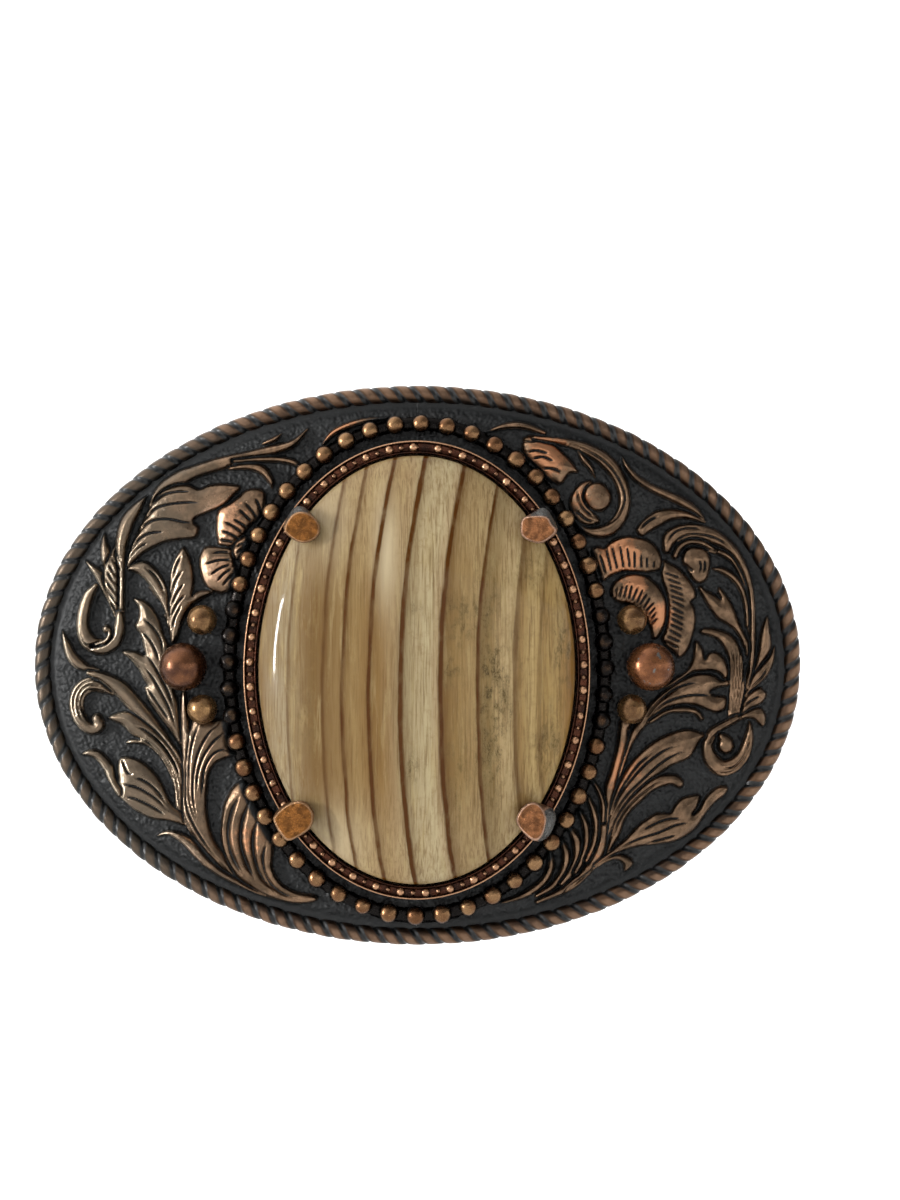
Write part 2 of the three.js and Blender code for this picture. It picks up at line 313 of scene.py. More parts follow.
def tube(points, radius, segments):
    """A round wire along a path that lies in one plane of constant y, with rounded ends."""
    p = np.array(points, float)
    ahead = np.gradient(p, axis=0)
    ahead /= np.linalg.norm(ahead, axis=1)[:, None]
    side = np.column_stack([ahead[:, 2], np.zeros(len(p)), -ahead[:, 0]])
    back = np.array([0, 1, 0])
    circle = np.column_stack([np.cos(turns(segments)), np.sin(turns(segments))])
    rings = []
    for away, size in ROUND_END:
        rings.append((p[0] + ahead[0] * away, side[0], size))
    for i in range(1, len(p) - 1):
        rings.append((p[i], side[i], 1.0))
    for away, size in reversed(ROUND_END):
        rings.append((p[-1] - ahead[-1] * away, side[-1], size))
    verts = []
    for middle, out, size in rings:
        for c, s in circle:
            verts.append(middle + (out * c + back * s) * radius * size)
    return verts, capped_faces(len(rings), segments)


# ---------------------------------------------------------------- material nodes

class Paint:
    """A material, with short names for the nodes that it is made of. Its textures are in millimetres."""

    def __init__(self, name):
        self.material = bpy.data.materials.new(name)
        self.material.use_nodes = True
        self.tree = self.material.node_tree
        self.tree.nodes.clear()
        self.out = self.tree.nodes.new("ShaderNodeOutputMaterial")
        self.shader = self.tree.nodes.new("ShaderNodeBsdfPrincipled")
        self.tree.links.new(self.shader.outputs[0], self.out.inputs[0])
        place = self.tree.nodes.new("ShaderNodeTexCoord")
        grow = self.tree.nodes.new("ShaderNodeVectorMath")
        grow.operation = "SCALE"
        grow.inputs["Scale"].default_value = 1 / MM
        self.tree.links.new(place.outputs["Object"], grow.inputs[0])
        self.place = grow.outputs[0]

    def put(self, socket, value):
        if isinstance(value, bpy.types.NodeSocket):
            self.tree.links.new(value, socket)
        else:
            socket.default_value = value

    def noise(self, scale, detail=4.0, roughness=0.55, stretch=None, warp=0.0):
        node = self.tree.nodes.new("ShaderNodeTexNoise")
        node.inputs["Scale"].default_value = scale
        node.inputs["Detail"].default_value = detail
        node.inputs["Roughness"].default_value = roughness
        node.inputs["Distortion"].default_value = warp
        source = self.place if stretch is None else self.stretched(self.place, stretch)
        self.tree.links.new(source, node.inputs["Vector"])
        return node.outputs["Fac"]

    def stretched(self, vector, factors):
        node = self.tree.nodes.new("ShaderNodeVectorMath")
        node.operation = "MULTIPLY"
        self.tree.links.new(vector, node.inputs[0])
        node.inputs[1].default_value = factors
        return node.outputs[0]

    def axis(self, name):
        node = self.tree.nodes.new("ShaderNodeSeparateXYZ")
        self.tree.links.new(self.place, node.inputs[0])
        return node.outputs[name]

    def math(self, operation, a, b=0.0, c=0.0, clamp=False):
        node = self.tree.nodes.new("ShaderNodeMath")
        node.operation = operation
        node.use_clamp = clamp
        self.put(node.inputs[0], a)
        self.put(node.inputs[1], b)
        self.put(node.inputs[2], c)
        return node.outputs[0]

    def spread(self, value, low, high, to_low=0.0, to_high=1.0):
        """The value stretched from one range to another, with soft ends."""
        node = self.tree.nodes.new("ShaderNodeMapRange")
        node.interpolation_type = "SMOOTHSTEP"
        self.put(node.inputs["Value"], value)
        node.inputs["From Min"].default_value = low
        node.inputs["From Max"].default_value = high
        node.inputs["To Min"].default_value = to_low
        node.inputs["To Max"].default_value = to_high
        return node.outputs["Result"]

    def mix(self, share, first, second):
        node = self.tree.nodes.new("ShaderNodeMix")
        node.data_type = "RGBA"
        self.put(node.inputs["Factor"], share)
        self.put(node.inputs[6], rgba(first))
        self.put(node.inputs[7], rgba(second))
        return node.outputs[2]

    def fade(self, value, low, high, first, second, most=1.0):
        """Goes softly from the first colour to the second while the value goes from low to high."""
        return self.mix(self.spread(value, low, high, 0.0, most), first, second)

    def ramp(self, value, stops):
        node = self.tree.nodes.new("ShaderNodeValToRGB")
        ramp = node.color_ramp
        ramp.interpolation = "LINEAR"
        while len(ramp.elements) < len(stops):
            ramp.elements.new(1.0)
        for element, (at, colour) in zip(ramp.elements, stops):
            element.position = at
            element.color = rgba(colour)
        self.put(node.inputs[0], value)
        return node.outputs["Color"]

    def attribute(self, name):
        node = self.tree.nodes.new("ShaderNodeAttribute")
        node.attribute_name = name
        return node.outputs["Fac"]

    def bump(self, height, depth, strength=1.0, over=None):
        """Bump whose full height is depth millimetres."""
        node = self.tree.nodes.new("ShaderNodeBump")
        node.inputs["Strength"].default_value = strength
        node.inputs["Distance"].default_value = depth * MM
        self.put(node.inputs["Height"], height)
        if over is not None:
            self.tree.links.new(over, node.inputs["Normal"])
        return node.outputs["Normal"]

    def finish(self, colour, roughness, metallic, normal=None, specular=0.5, coat=0.0):
        self.put(self.shader.inputs["Base Color"], colour)
        self.put(self.shader.inputs["Roughness"], roughness)
        self.put(self.shader.inputs["Metallic"], metallic)
        self.shader.inputs["Specular IOR Level"].default_value = specular
        self.shader.inputs["Coat Weight"].default_value = coat
        self.shader.inputs["Coat Roughness"].default_value = 0.03
        if normal is not None:
            self.put(self.shader.inputs["Normal"], normal)
        return self.material


def toned(colour, share):
    """The same colour, darker where share is below 1 and lighter where it is above."""
    return tuple(c * share for c in colour)


def rgba(colour):
    """Red, green and blue with full opacity; anything else is left as it is."""
    if isinstance(colour, tuple) and len(colour) == 3:
        return (*colour, 1.0)
    return colour


# ---------------------------------------------------------------- carving the scrollwork

FINE = 0.134           # distance between the points of the carved face
LEAF_HEIGHT = 0.8      # how far a leaf's edge stands above the field
CROWN = 0.7            # how much higher its middle is
ROUND = 1.6            # how far in from the edge it keeps rising
WALL = 0.38            # width of its side
MOAT = 0.3             # width of the gap that it cuts into what it lies over
FLARE = 0.17           # how far its foot reaches past its outline
CUT_HALF = 0.2
CUT_DEPTH = 0.5
RIB_HALF = 0.17
RIB_DEPTH = 0.42


def spline(points, step=0.2, closed=False):
    """Points along a smooth curve through the given points."""
    p = np.array(points, float)
    if closed:
        p = np.vstack([p[-1], p, p[0], p[1]])
    else:
        p = np.vstack([2 * p[0] - p[1], p, 2 * p[-1] - p[-2]])
    out = []
    for a, b, c, d in zip(p, p[1:], p[2:], p[3:]):
        n = max(2, int(np.hypot(*(c - b)[:2]) / step))
        t = np.arange(n)[:, None] / n
        bow = 2 * a - 5 * b + 4 * c - d
        twist = 3 * b - a - 3 * c + d
        out.append(0.5 * (2 * b + (c - a) * t + bow * t**2 + twist * t**3))
    out = np.vstack(out)
    return out if closed else np.vstack([out, p[-2]])


def near_line(X, Z, line, half=None):
    """How far each place is outside a band along a line, and the band's half width there."""
    best = np.full(X.shape, 1e9)
    value = np.zeros(X.shape)
    for i in range(len(line) - 1):
        ax, az = line[i, :2]
        dx, dz = line[i + 1, :2] - line[i, :2]
        t = np.clip(((X - ax) * dx + (Z - az) * dz) / (dx * dx + dz * dz + 1e-12), 0, 1)
        away = np.hypot(X - ax - t * dx, Z - az - t * dz)
        r = 0.0 if half is None else half[i] + t * (half[i + 1] - half[i])
        nearer = away - r < best
        best = np.where(nearer, away - r, best)
        value = np.where(nearer, r, value)
    return best, value


def inside_outline(X, Z, line):
    inside = np.zeros(X.shape, bool)
    for (x1, z1), (x2, z2) in zip(line[:, :2], np.roll(line[:, :2], -1, axis=0)):
        if z1 != z2:
            crossing = (z1 > Z) != (z2 > Z)
            inside ^= crossing & (X < x1 + (Z - z1) * (x2 - x1) / (z2 - z1))
    return inside


def blurred(height, reach):
    """The mean of a height map over a square of 2 * reach + 1 points."""
    for axis in (0, 1):
        pads = [(0, 0), (0, 0)]
        pads[axis] = (reach + 1, reach)
        total = np.cumsum(np.pad(height, pads, mode="edge"), axis=axis)
        high = np.take(total, range(2 * reach + 1, total.shape[axis]), axis=axis)
        low = np.take(total, range(0, total.shape[axis] - 2 * reach - 1), axis=axis)
        height = (high - low) / (2 * reach + 1)
    return height


class Relief:
    """A height map of the scrollwork, carved stroke by stroke."""

    def __init__(self, half_x, half_z):
        self.x = np.arange(-half_x, half_x + FINE, FINE)
        self.z = np.arange(-half_z, half_z + FINE, FINE)
        self.X, self.Z = np.meshgrid(self.x, self.z)
        self.height = np.zeros(self.X.shape)

    def window(self, line, pad):
        left, right = np.searchsorted(self.x, [line[:, 0].min() - pad, line[:, 0].max() + pad])
        low, high = np.searchsorted(self.z, [line[:, 1].min() - pad, line[:, 1].max() + pad])
        return slice(low, high), slice(left, right)

    def raise_up(self, depth, half, window):
        """Raises a rounded shape. A place is depth inside its outline, and its half width there is half."""
        old = self.height[window]
        wall = smooth(-FLARE, WALL - FLARE, depth)
        u = np.clip(depth / np.maximum(np.minimum(half, ROUND), 0.15), 0, 1)
        low_tip = np.clip(0.55 + 0.9 * half, 0.55, 1)
        top = (LEAF_HEIGHT + CROWN * (1 - (1 - u) ** 2)) * low_tip
        floor = 0.35 * LEAF_HEIGHT
        kept = np.minimum(old, floor + (old - floor) * np.clip(-depth / MOAT, 0, 1))
        base = np.minimum(kept, top)
        self.height[window] = np.where(depth > -FLARE, base + (top - base) * wall, kept)

    def stem(self, points):
        line = spline(points)
        window = self.window(line, line[:, 2].max() + 1)
        away, half = near_line(self.X[window], self.Z[window], line, np.maximum(line[:, 2], 0.03))
        self.raise_up(-away, np.maximum(half, 0.15), window)

    def leaf(self, points):
        line = spline(points, closed=True)
        window = self.window(line, 1)
        away, _ = near_line(self.X[window], self.Z[window], np.vstack([line, line[:1]]))
        depth = np.where(inside_outline(self.X[window], self.Z[window], line), away, -away)
        self.raise_up(depth, np.full(depth.shape, ROUND), window)

    def cut(self, points, half=CUT_HALF, deep=CUT_DEPTH):
        line = spline(points)
        t = np.linspace(0, 1, len(line))
        width = half * np.clip(np.minimum(t, 1 - t) * 5, 0.12, 1) ** 0.6
        window = self.window(line, half + 0.5)
        away, reach = near_line(self.X[window], self.Z[window], line, width)
        share = np.clip(-away / np.maximum(reach, 1e-3), 0, 1)
        groove = deep * (reach / half) * np.minimum(1, share * 1.6)
        old = self.height[window]
        self.height[window] = np.maximum(old - groove, np.minimum(old, 0.05))

    def furrow(self, points):
        """A wide soft groove with a sharp one down its middle."""
        self.cut(points, 0.6, 0.3)
        self.cut(points, 0.2, 0.35)

    def ribs(self, count, inner, outer):
        """Grooves that fan out between two curves."""
        a = spline(inner)
        b = spline(outer)
        for i in range(count):
            t = (i + 0.5) / count
            self.cut([a[int(t * (len(a) - 1))], b[int(t * (len(b) - 1))]], RIB_HALF, RIB_DEPTH)

    def carve(self, strokes):
        for kind, *lines in strokes:
            for points in lines:
                getattr(self, kind)(points)


def inside_distance(x, z, half_x, half_z, middle_z=0.0):
    """About how far a place is inside an ellipse, in millimetres."""
    z = z - middle_z
    f = np.sqrt((x / half_x) ** 2 + (z / half_z) ** 2) + 1e-9
    slope = np.sqrt((x / half_x**2) ** 2 + (z / half_z**2) ** 2) / f
    return (1 - f) / np.maximum(slope, 1e-9)


# Places where the copper is rubbed bright: x, z, how far it spreads, and how strongly
BRIGHT_SPOTS = [
    (-24.5, 18.5, 4.5, 0.65), (-25.5, 12.0, 3.0, 0.6), (-21.5, -22.0, 4.5, 0.5), (-26.0, -12.0, 4.0, 0.35),
    (-30.5, -24.0, 5.0, 0.45), (-33.0, 20.0, 4.0, 0.35), (-37.5, -14.0, 4.0, 0.25), (-42.5, 0.0, 4.0, 0.15),
    (25.7, 13.8, 3.0, 1.0), (27.5, 10.0, 2.0, 0.9), (30.5, 6.3, 2.2, 0.9), (25.5, -13.0, 4.5, 0.6),
    (16.5, 26.5, 3.5, 0.8), (21.0, 21.0, 3.5, 0.5), (-10.0, 29.8, 4.0, 0.7), (33.0, -20.0, 4.0, 0.3),
    (37.0, -3.0, 4.0, 0.25), (22.0, -24.0, 4.0, 0.4), (-31.0, 10.0, 3.5, 0.4), (42.0, 8.0, 4.0, 0.2),
]
RIM_GROOVE = 0.6      # depth of the groove inside the rope
RIM_GROOVE_WIDTH = 1.5
FIELD_GRAIN = 0.07
LEAF_GRAIN = 0.022


def wear_and_highlight_of(x, z, height, crest, copper):
    """How brightly a place is rubbed, in the bright spots and on crests, with a painted highlight added on
    left-facing edges low on the left.
    """
    wear_and_highlight = np.zeros(height.shape)
    for spot_x, spot_z, reach, strength in BRIGHT_SPOTS:
        wear_and_highlight = np.maximum(wear_and_highlight, strength * np.exp(-((x - spot_x) ** 2 + (z - spot_z) ** 2) / reach**2))
    # Slopes that face left, low on the left, are made bright: a painted highlight from the light on the
    # left, not rubbing.
    rise = np.gradient(height, FINE, axis=1) - 0.3 * np.gradient(height, FINE, axis=0)
    left_edge_highlight = smooth(0.25, 1.2, rise) * smooth(0.3, 0.7, height) * smooth(-22.0, -34.0, x)
    left_edge_highlight *= smooth(19.0, 11.0, z)
    return 0.8 * wear_and_highlight * copper + 0.95 * left_edge_highlight + 0.08 * smooth(0.04, 0.2, crest) * copper


def carved_face():
    """Carves the face. Gives its places and heights, the copper that its colours follow, and how rubbed each
    place is, together with the painted highlight on left-facing edges.
    """
    relief = Relief(CARVED_X, CARVED_Z)
    relief.carve(LEFT)
    relief.carve(RIGHT)
    for count, inner, outer in RIBS:
        relief.ribs(count, inner, outer)
    x, z = nearer_axis(relief.X, relief.Z, RELIEF_SCALE)
    height = relief.height
    to_beads = inside_distance(x, z, BEADS_X, BEADS_Z, SETTING_DROP)
    height *= 1 - smooth(-0.2, 0.9, to_beads)
    rim = inside_distance(x, z, PLATE_X, PLATE_Z)
    height *= smooth(-0.2, 0.5, rim)
    grain = RNG.normal(size=height.shape)
    grain = blurred(grain, 1) * 2 + 0.4 * grain
    broad = blurred(RNG.normal(size=height.shape), 5) * 6
    raised = smooth(0.25, 0.6, height)
    height += (FIELD_GRAIN * grain * (1 - raised) + LEAF_GRAIN * broad * raised) * smooth(0, 1, rim)
    height -= RIM_GROOVE * (1 - smooth(0.1, RIM_GROOVE_WIDTH, rim)) * (1 - 0.5 * raised)
    crest = height - blurred(height, 4)
    copper = smooth(0.12, 0.42, height) * smooth(-0.28, -0.1, crest)
    wear_and_highlight = wear_and_highlight_of(x, z, height, crest, copper)
    copper -= 1.0 - smooth(0.9, 1.9, np.abs(to_beads))
    return x, z, height, copper, wear_and_highlight


def skin_faces(inside):
    """Quads between the grid's points that are inside, and which of its points they use."""
    cells = inside[:-1, :-1] & inside[1:, :-1] & inside[:-1, 1:] & inside[1:, 1:]
    used = np.zeros(inside.shape, bool)
    for rows in (slice(0, -1), slice(1, None)):
        for columns in (slice(0, -1), slice(1, None)):
            used[rows, columns] |= cells
    number = np.full(inside.shape, -1)
    number[used] = np.arange(used.sum())
    corners = [number[:-1, :-1], number[:-1, 1:], number[1:, 1:], number[1:, :-1]]
    return np.column_stack([c[cells] for c in corners]), used


def rim_walls(verts, faces):
    """Walls that turn a skin's rims down into the plate, and the points at their feet."""
    edges = np.vstack([faces[:, [i, (i + 1) % 4]] for i in range(4)])
    _, first, uses = np.unique(np.sort(edges, axis=1), axis=0, return_index=True, return_counts=True)
    rim = edges[first[uses == 1]]
    lower = np.unique(rim)
    below = np.full(len(verts), -1)
    below[lower] = len(verts) + np.arange(len(lower))
    feet = verts[lower].copy()
    feet[:, 1] = bend(feet[:, 0], feet[:, 2]) + SKIN_FOOT
    return feet, np.column_stack([rim[:, 1], rim[:, 0], below[rim[:, 0]], below[rim[:, 1]]])


def carved_half(name, face, keep, paint, *nodes):
    """One side of the carved face: a fine skin over the part of the plate that is to be kept."""
    x, z, height, copper, wear_and_highlight = face
    inside = keep & (inside_distance(x, z, SKIN_X, SKIN_Z) > 0)
    inside &= inside_distance(x, z, HOLE_X, HOLE_Z, SETTING_DROP) < 0
    faces, used = skin_faces(inside)
    y = bend(x, z) + PLATE_FRONT - height
    verts = np.column_stack([x[used], y[used], z[used]])
    feet, walls = rim_walls(verts, faces)
    obj = new_object(name, np.vstack([verts, feet]), np.vstack([faces, walls]).tolist(), paint)
    for kind, values in (("copper", copper), ("wear_and_highlight", wear_and_highlight)):
        put_attribute(obj, kind, np.concatenate([values[used], np.zeros(len(feet))]))
    settle(obj, "buckle", "face_plate", *nodes)


# The scrollwork, in the order it is laid down: x and z in millimetres, as seen from the front.
# A leaf is a closed outline. A stem is a middle line, with its half width as the third number.
# A cut is the line of a groove, and a furrow is a wide one. Each kind is followed by one list of points for
# each shape of that kind. Later leaves and stems lie over earlier ones.
LEFT = [
    # long outer leaf and the large leaf below it
    ("stem",
     [(-34.3, 20.2, .2), (-33, 22.2, .75), (-31, 23.6, 1.05), (-28.5, 24.7, .85), (-25.5, 25.6, .85),
      (-22, 26.5, .75), (-18.5, 27.4, .65), (-16, 28.2, .5), (-14, 30.1, .08)]),
    ("leaf",
     [(-37.4, 12.3), (-36.9, 14.5), (-35.6, 17.5), (-34.2, 20.3), (-32.8, 22.1), (-31, 23), (-29.3, 23),
      (-28, 22.5), (-26.6, 23), (-24.5, 23.1), (-22.6, 22.7), (-23.6, 21.5), (-24.6, 20.5), (-26.2, 19.7),
      (-28.3, 18.8), (-28.6, 18.2), (-28, 17.6), (-28.1, 16.6), (-28.8, 16.1), (-30.5, 16), (-32.5, 15.6),
      (-34.8, 14.5), (-36.3, 13.3)]),
    ("cut",
     [(-34.1, 20.4), (-32.8, 21.6), (-31, 22.1), (-28.8, 22.1)],
     [(-35.1, 18.4), (-33.8, 19.8), (-32.3, 20.4), (-30, 20.7), (-27.6, 20.7)],
     [(-36.1, 16.4), (-35, 17.8), (-33.6, 18.5), (-31.8, 18.6), (-29.8, 18.2), (-28.5, 18.2)],
     [(-36.8, 14.4), (-35.7, 16), (-34.3, 16.8), (-32.3, 17)],
     [(-36.9, 13.7), (-35.8, 14.9), (-34.6, 15.6)]),
    # feather and the scroll that it grows from
    ("stem",
     [(-38.7, 6.3, .3), (-39.2, 8.3, .6), (-40.3, 10.6, .75), (-41.4, 12, .5), (-42.9, 13.4, .06)],
     [(-38.7, 8, .4), (-39.2, 11, .6), (-39.9, 13.5, .75), (-40.25, 15.3, .5), (-40.4, 17.2, .06)]),
    ("leaf",
     [(-38.7, 15.4), (-39.6, 13.9), (-40.2, 12.4), (-40.4, 10.9), (-39.9, 9.2), (-39.2, 7.6), (-38.6, 6),
      (-38, 5.6), (-37.7, 8.4), (-37.6, 12.8), (-37.5, 15), (-38, 16)]),
    ("stem",
     [(-38, 5.8, .4), (-37.95, 9, .4), (-37.95, 12, .45), (-38.1, 15, .75), (-37.4, 18, .95),
      (-36.2, 19.9, .7), (-34.8, 21.6, .06)]),
    ("cut",
     [(-38.9, 15), (-38.5, 14), (-37.9, 13.1)],
     [(-39.3, 13.8), (-38.8, 12.9), (-38, 12)],
     [(-39.7, 12.9), (-39, 11.8), (-38.1, 10.9)],
     [(-39.9, 12), (-39.2, 10.9), (-38.1, 9.8)],
     [(-40, 10.8), (-39.2, 9.7), (-38.2, 8.6)],
     [(-39.8, 9.4), (-39.1, 8.5), (-38.3, 7.5)],
     [(-39.5, 8), (-39, 7.2), (-38.4, 6.4)]),
    ("stem",
     [(-38.2, 6.4, .5), (-38.3, 4.6, .8), (-38.9, 3.1, .95), (-40.1, 2.3, 1), (-41.4, 2.35, 1),
      (-42.6, 3.3, 1), (-43.1, 5, .85), (-42.9, 7, .8), (-42.3, 8.8, .7), (-41.4, 10, .4)],
     [(-41.8, 2.35, .15), (-40.5, 2.75, .28), (-39.7, 3.4, .3), (-39.55, 4.3, .3), (-39.95, 4.55, .55)]),
    ("cut",
     [(-39, 5), (-38.95, 3.9), (-39.4, 3.1), (-40.2, 2.5)],
     [(-43.1, 3.2), (-42.4, 2.5), (-41.2, 2.4), (-40.2, 2.9)]),
    # thorn, main stem and three-ridged curl
    ("stem",
     [(-45.8, 4.3, .06), (-45.2, 2.6, .5), (-44.5, 1, .72), (-43.5, 0, .7), (-42.3, -.5, .4),
      (-41, -.7, .15)],
     [(-38.5, -3.6, .45), (-40.3, -2.9, .8), (-42, -2.6, .95), (-43.4, -3.4, .98), (-43.95, -5, .95),
      (-43.6, -6.7, .9), (-42.6, -8, .8), (-41.5, -8.3, .75), (-40.9, -7.8, .75), (-41.2, -7, .7)]),
    ("cut",
     [(-39.4, -2.8), (-40.5, -2.3), (-42, -2.05), (-43.3, -2.7), (-44.1, -4), (-44.25, -5.3),
      (-43.8, -6.9)],
     [(-39.4, -3.1), (-41, -2.7), (-42.3, -2.7), (-43.3, -3.5), (-43.7, -5), (-43.4, -6.5), (-42.8, -7.3)],
     [(-39.8, -3.6), (-41.2, -3.3), (-42.5, -3.5), (-43.2, -4.5), (-43.2, -5.7), (-42.6, -7)]),
    ("stem",
     [(-42.3, -1.1, .35), (-40.5, -1.6, .65), (-38.3, -3, 1), (-36.2, -5.2, 1), (-34, -7.6, .8),
      (-32.2, -9.8, .55), (-30.6, -12.2, .4), (-30, -14.5, .25)]),
    # leaf that turns left from the trunk
    ("leaf",
     [(-39.7, -6.9), (-38.4, -6.2), (-37, -6.1), (-35.6, -6.9), (-33.7, -8.4), (-31.9, -10.4),
      (-30.3, -12.9), (-29.7, -15), (-29.8, -18.5), (-30.9, -18.6), (-31.2, -15.6), (-32.2, -13.1),
      (-33.4, -11.4), (-35, -10.3), (-37.4, -10.1), (-36.9, -9.7), (-35.6, -9.6), (-36.8, -8.9),
      (-37.9, -7.8)]),
    ("cut",
     [(-36.4, -7.8), (-34.8, -8.5), (-33, -10), (-31.5, -12), (-30.4, -14.2)],
     [(-35.6, -9.3), (-33.8, -10.6), (-32, -12.7), (-31, -15)],
     [(-34.2, -8.8), (-32.3, -10.8), (-30.9, -13.2), (-30.2, -16)],
     [(-32, -12), (-30.9, -14.5), (-30.4, -18.3)]),
    # inner frond behind the large ball
    ("leaf",
     [(-36.4, 8.4), (-35.2, 8.2), (-34, 7.2), (-33, 5.5), (-32.4, 3.5), (-31.6, 1.8), (-31, -1),
      (-31.1, -3.3), (-30.7, -5), (-30.4, -8), (-30.2, -10.4), (-31.6, -8.5), (-33.2, -6.4),
      (-34.4, -4.6), (-35, -2.9), (-34.6, -2.7), (-35.1, -1.9), (-35.8, -.6), (-36.8, .6), (-37.9, 1.6),
      (-36.4, 1.7), (-35, 1.2), (-35.1, 2.2), (-35.5, 3.8), (-36.2, 4.9), (-35.8, 6), (-35.8, 7.3)]),
    ("cut",
     [(-35.1, 5.9), (-33.8, 4.7), (-32.9, 3.2), (-32.5, 1.6)],
     [(-35.4, 4.3), (-34.3, 3.2), (-33.5, 1.8), (-33, .4)],
     [(-34.9, 1.4), (-33.9, .2), (-33, -1.3), (-32, -3.2), (-31.2, -5.4)],
     [(-35, -.2), (-33.8, -1.8), (-32.8, -3.5), (-31.8, -5.5), (-30.9, -8.2)],
     [(-34.7, -2.9), (-33.6, -4.4), (-32.5, -6), (-31.7, -7.2)]),
    # tall pair of leaves above the large ball
    ("leaf",
     [(-37.3, 12.2), (-36.4, 12.9), (-35, 13.2), (-33.8, 12.5), (-32.7, 11), (-32, 9.3), (-31.6, 7.5),
      (-31.3, 5), (-31.4, 2.9), (-31.8, 4.4), (-32.6, 7), (-33.8, 9), (-35.2, 11), (-36.3, 11.8)]),
    ("cut",
     [(-36, 11.8), (-34.6, 10.5), (-33.3, 8.6), (-32.2, 6.4), (-31.7, 4.8)],
     [(-34.8, 12.4), (-33.4, 11.1), (-32.3, 9)]),
    ("leaf",
     [(-30, 15), (-30.9, 13.8), (-31.5, 12.2), (-31.7, 10), (-31.8, 8), (-31.7, 6), (-31.5, 2.9),
      (-30.7, 3.4), (-30.2, 5), (-29.5, 6.6), (-28.5, 7.8), (-27.2, 8.6), (-26, 9.4), (-27.5, 9.5),
      (-28.5, 9.1), (-28.8, 8.8), (-28.6, 10.5), (-28.8, 12.5), (-29.3, 14.1)]),
    ("cut",
     [(-30.2, 13.9), (-30.9, 12.5), (-31.4, 10.8)],
     [(-29.9, 12.1), (-30.9, 10.8), (-31.6, 8.8), (-31.7, 7.9)],
     [(-29.8, 10.4), (-30.7, 9.2), (-31.6, 7.4)],
     [(-29.6, 9), (-30.7, 7.8), (-31.6, 6)],
     [(-30.1, 7.7), (-31, 6), (-31.5, 4.2)]),
    # lobed leaf and crescent at the lower left
    ("leaf",
     [(-38.4, -15), (-38.5, -13.4), (-38.2, -12.1), (-37, -11.9), (-35.5, -12.4), (-34, -13.6),
      (-32.8, -15.2), (-32, -17), (-31.2, -18.2), (-29.8, -19.4), (-29.6, -20.6), (-32, -20),
      (-34, -19.8), (-36, -18.9), (-37.6, -17.6), (-38.8, -16.4)],
     [(-43.3, -11.6), (-42.3, -11), (-41, -11.1), (-39.9, -12), (-39.1, -13.1), (-38.7, -14.9),
      (-38, -16), (-38.2, -17), (-39, -16.2), (-39.8, -14.8), (-40.4, -13.5), (-41.3, -12.3),
      (-42.3, -11.8)]),
    ("cut",
     [(-37.9, -12), (-37.6, -13), (-37.1, -13.9), (-36.4, -14.1)],
     [(-36.3, -14.4), (-34.8, -15), (-33.5, -16), (-32.2, -17.8)],
     [(-38, -15.4), (-36.5, -15.6), (-35, -16.2), (-33.3, -17.3), (-32.1, -18.5)],
     [(-37.7, -16.9), (-36, -17.3), (-34, -18.2), (-32.2, -19.3)]),
    ("stem",
     [(-33.4, -22, .06), (-32.3, -21.6, .25), (-31, -21.8, .45), (-29.5, -22.7, .65), (-28, -24.1, .8),
      (-26.5, -25.5, .75), (-24.8, -26.8, .6), (-22.5, -28, .5), (-19.5, -29.3, .4), (-16, -30.3, .3)]),
    # trunk and the fan of fronds on its right
    ("leaf",
     [(-29.9, -3.2), (-30.3, -5.5), (-30.2, -10), (-30, -14), (-30.1, -18), (-29.8, -20.3),
      (-28.6, -22.3), (-27, -24.4), (-25.2, -26), (-22.8, -27.4), (-19.5, -28.7), (-19, -27.5),
      (-21.8, -26.4), (-24, -25), (-25.9, -22.6), (-26.8, -19.5), (-26.9, -16.5), (-26.6, -14),
      (-25.8, -12.6), (-24.4, -11.9), (-23.1, -11.4), (-24, -10.9), (-24.1, -8.8), (-24.1, -7.2),
      (-25.3, -7), (-27.3, -6.9), (-28.6, -6.9), (-29.1, -8.2), (-29.3, -6)]),
    ("cut",
     [(-28.8, -7), (-29.2, -9.2), (-29.6, -13), (-29.6, -17.6), (-28.7, -20.3), (-26.9, -23.2),
      (-25, -25.6)],
     [(-27.7, -7.2), (-28.6, -9.4), (-29.2, -12.6), (-29.2, -17), (-28.3, -20)],
     [(-25.2, -7.3), (-26.8, -9), (-28, -11.3), (-28.6, -14), (-28.7, -17), (-28.2, -19.6)],
     [(-24.4, -8.6), (-26, -9.8), (-27.4, -11.9), (-28.1, -14.2), (-28.2, -16.6)],
     [(-24, -10.7), (-25.8, -11.2), (-27.1, -13), (-27.5, -15.5), (-27.6, -17)],
     [(-30, -19), (-28.8, -21.6), (-27, -24), (-25.2, -25.8)]),
    # fan of fronds beside the beads
    ("leaf",
     [(-22.4, -14.8), (-23.7, -15.8), (-24.7, -17.8), (-25.1, -20.4), (-25, -22.8), (-24.2, -25.2),
      (-23, -27.2), (-21, -28.6), (-18.6, -29.8), (-15.5, -30.5), (-13, -30.2), (-13.2, -29.4),
      (-15.6, -29), (-17.4, -27.9), (-18.5, -26), (-18.4, -24), (-18.4, -22), (-19.2, -20.2),
      (-20.4, -18), (-21.4, -16.4), (-21.7, -15.2)]),
    ("furrow",
     [(-22.6, -16.6), (-23.7, -18.6), (-24.2, -21), (-24.1, -23), (-23.6, -24.7), (-22.4, -26.8)],
     [(-21.4, -17.5), (-22.2, -19.4), (-22.6, -21.6), (-22.4, -23.6), (-21.7, -25.6), (-20.8, -27.3)],
     [(-20.3, -19.6), (-20.9, -21.4), (-21, -23.2), (-20.7, -25), (-19.8, -27.2), (-18.4, -28.7)],
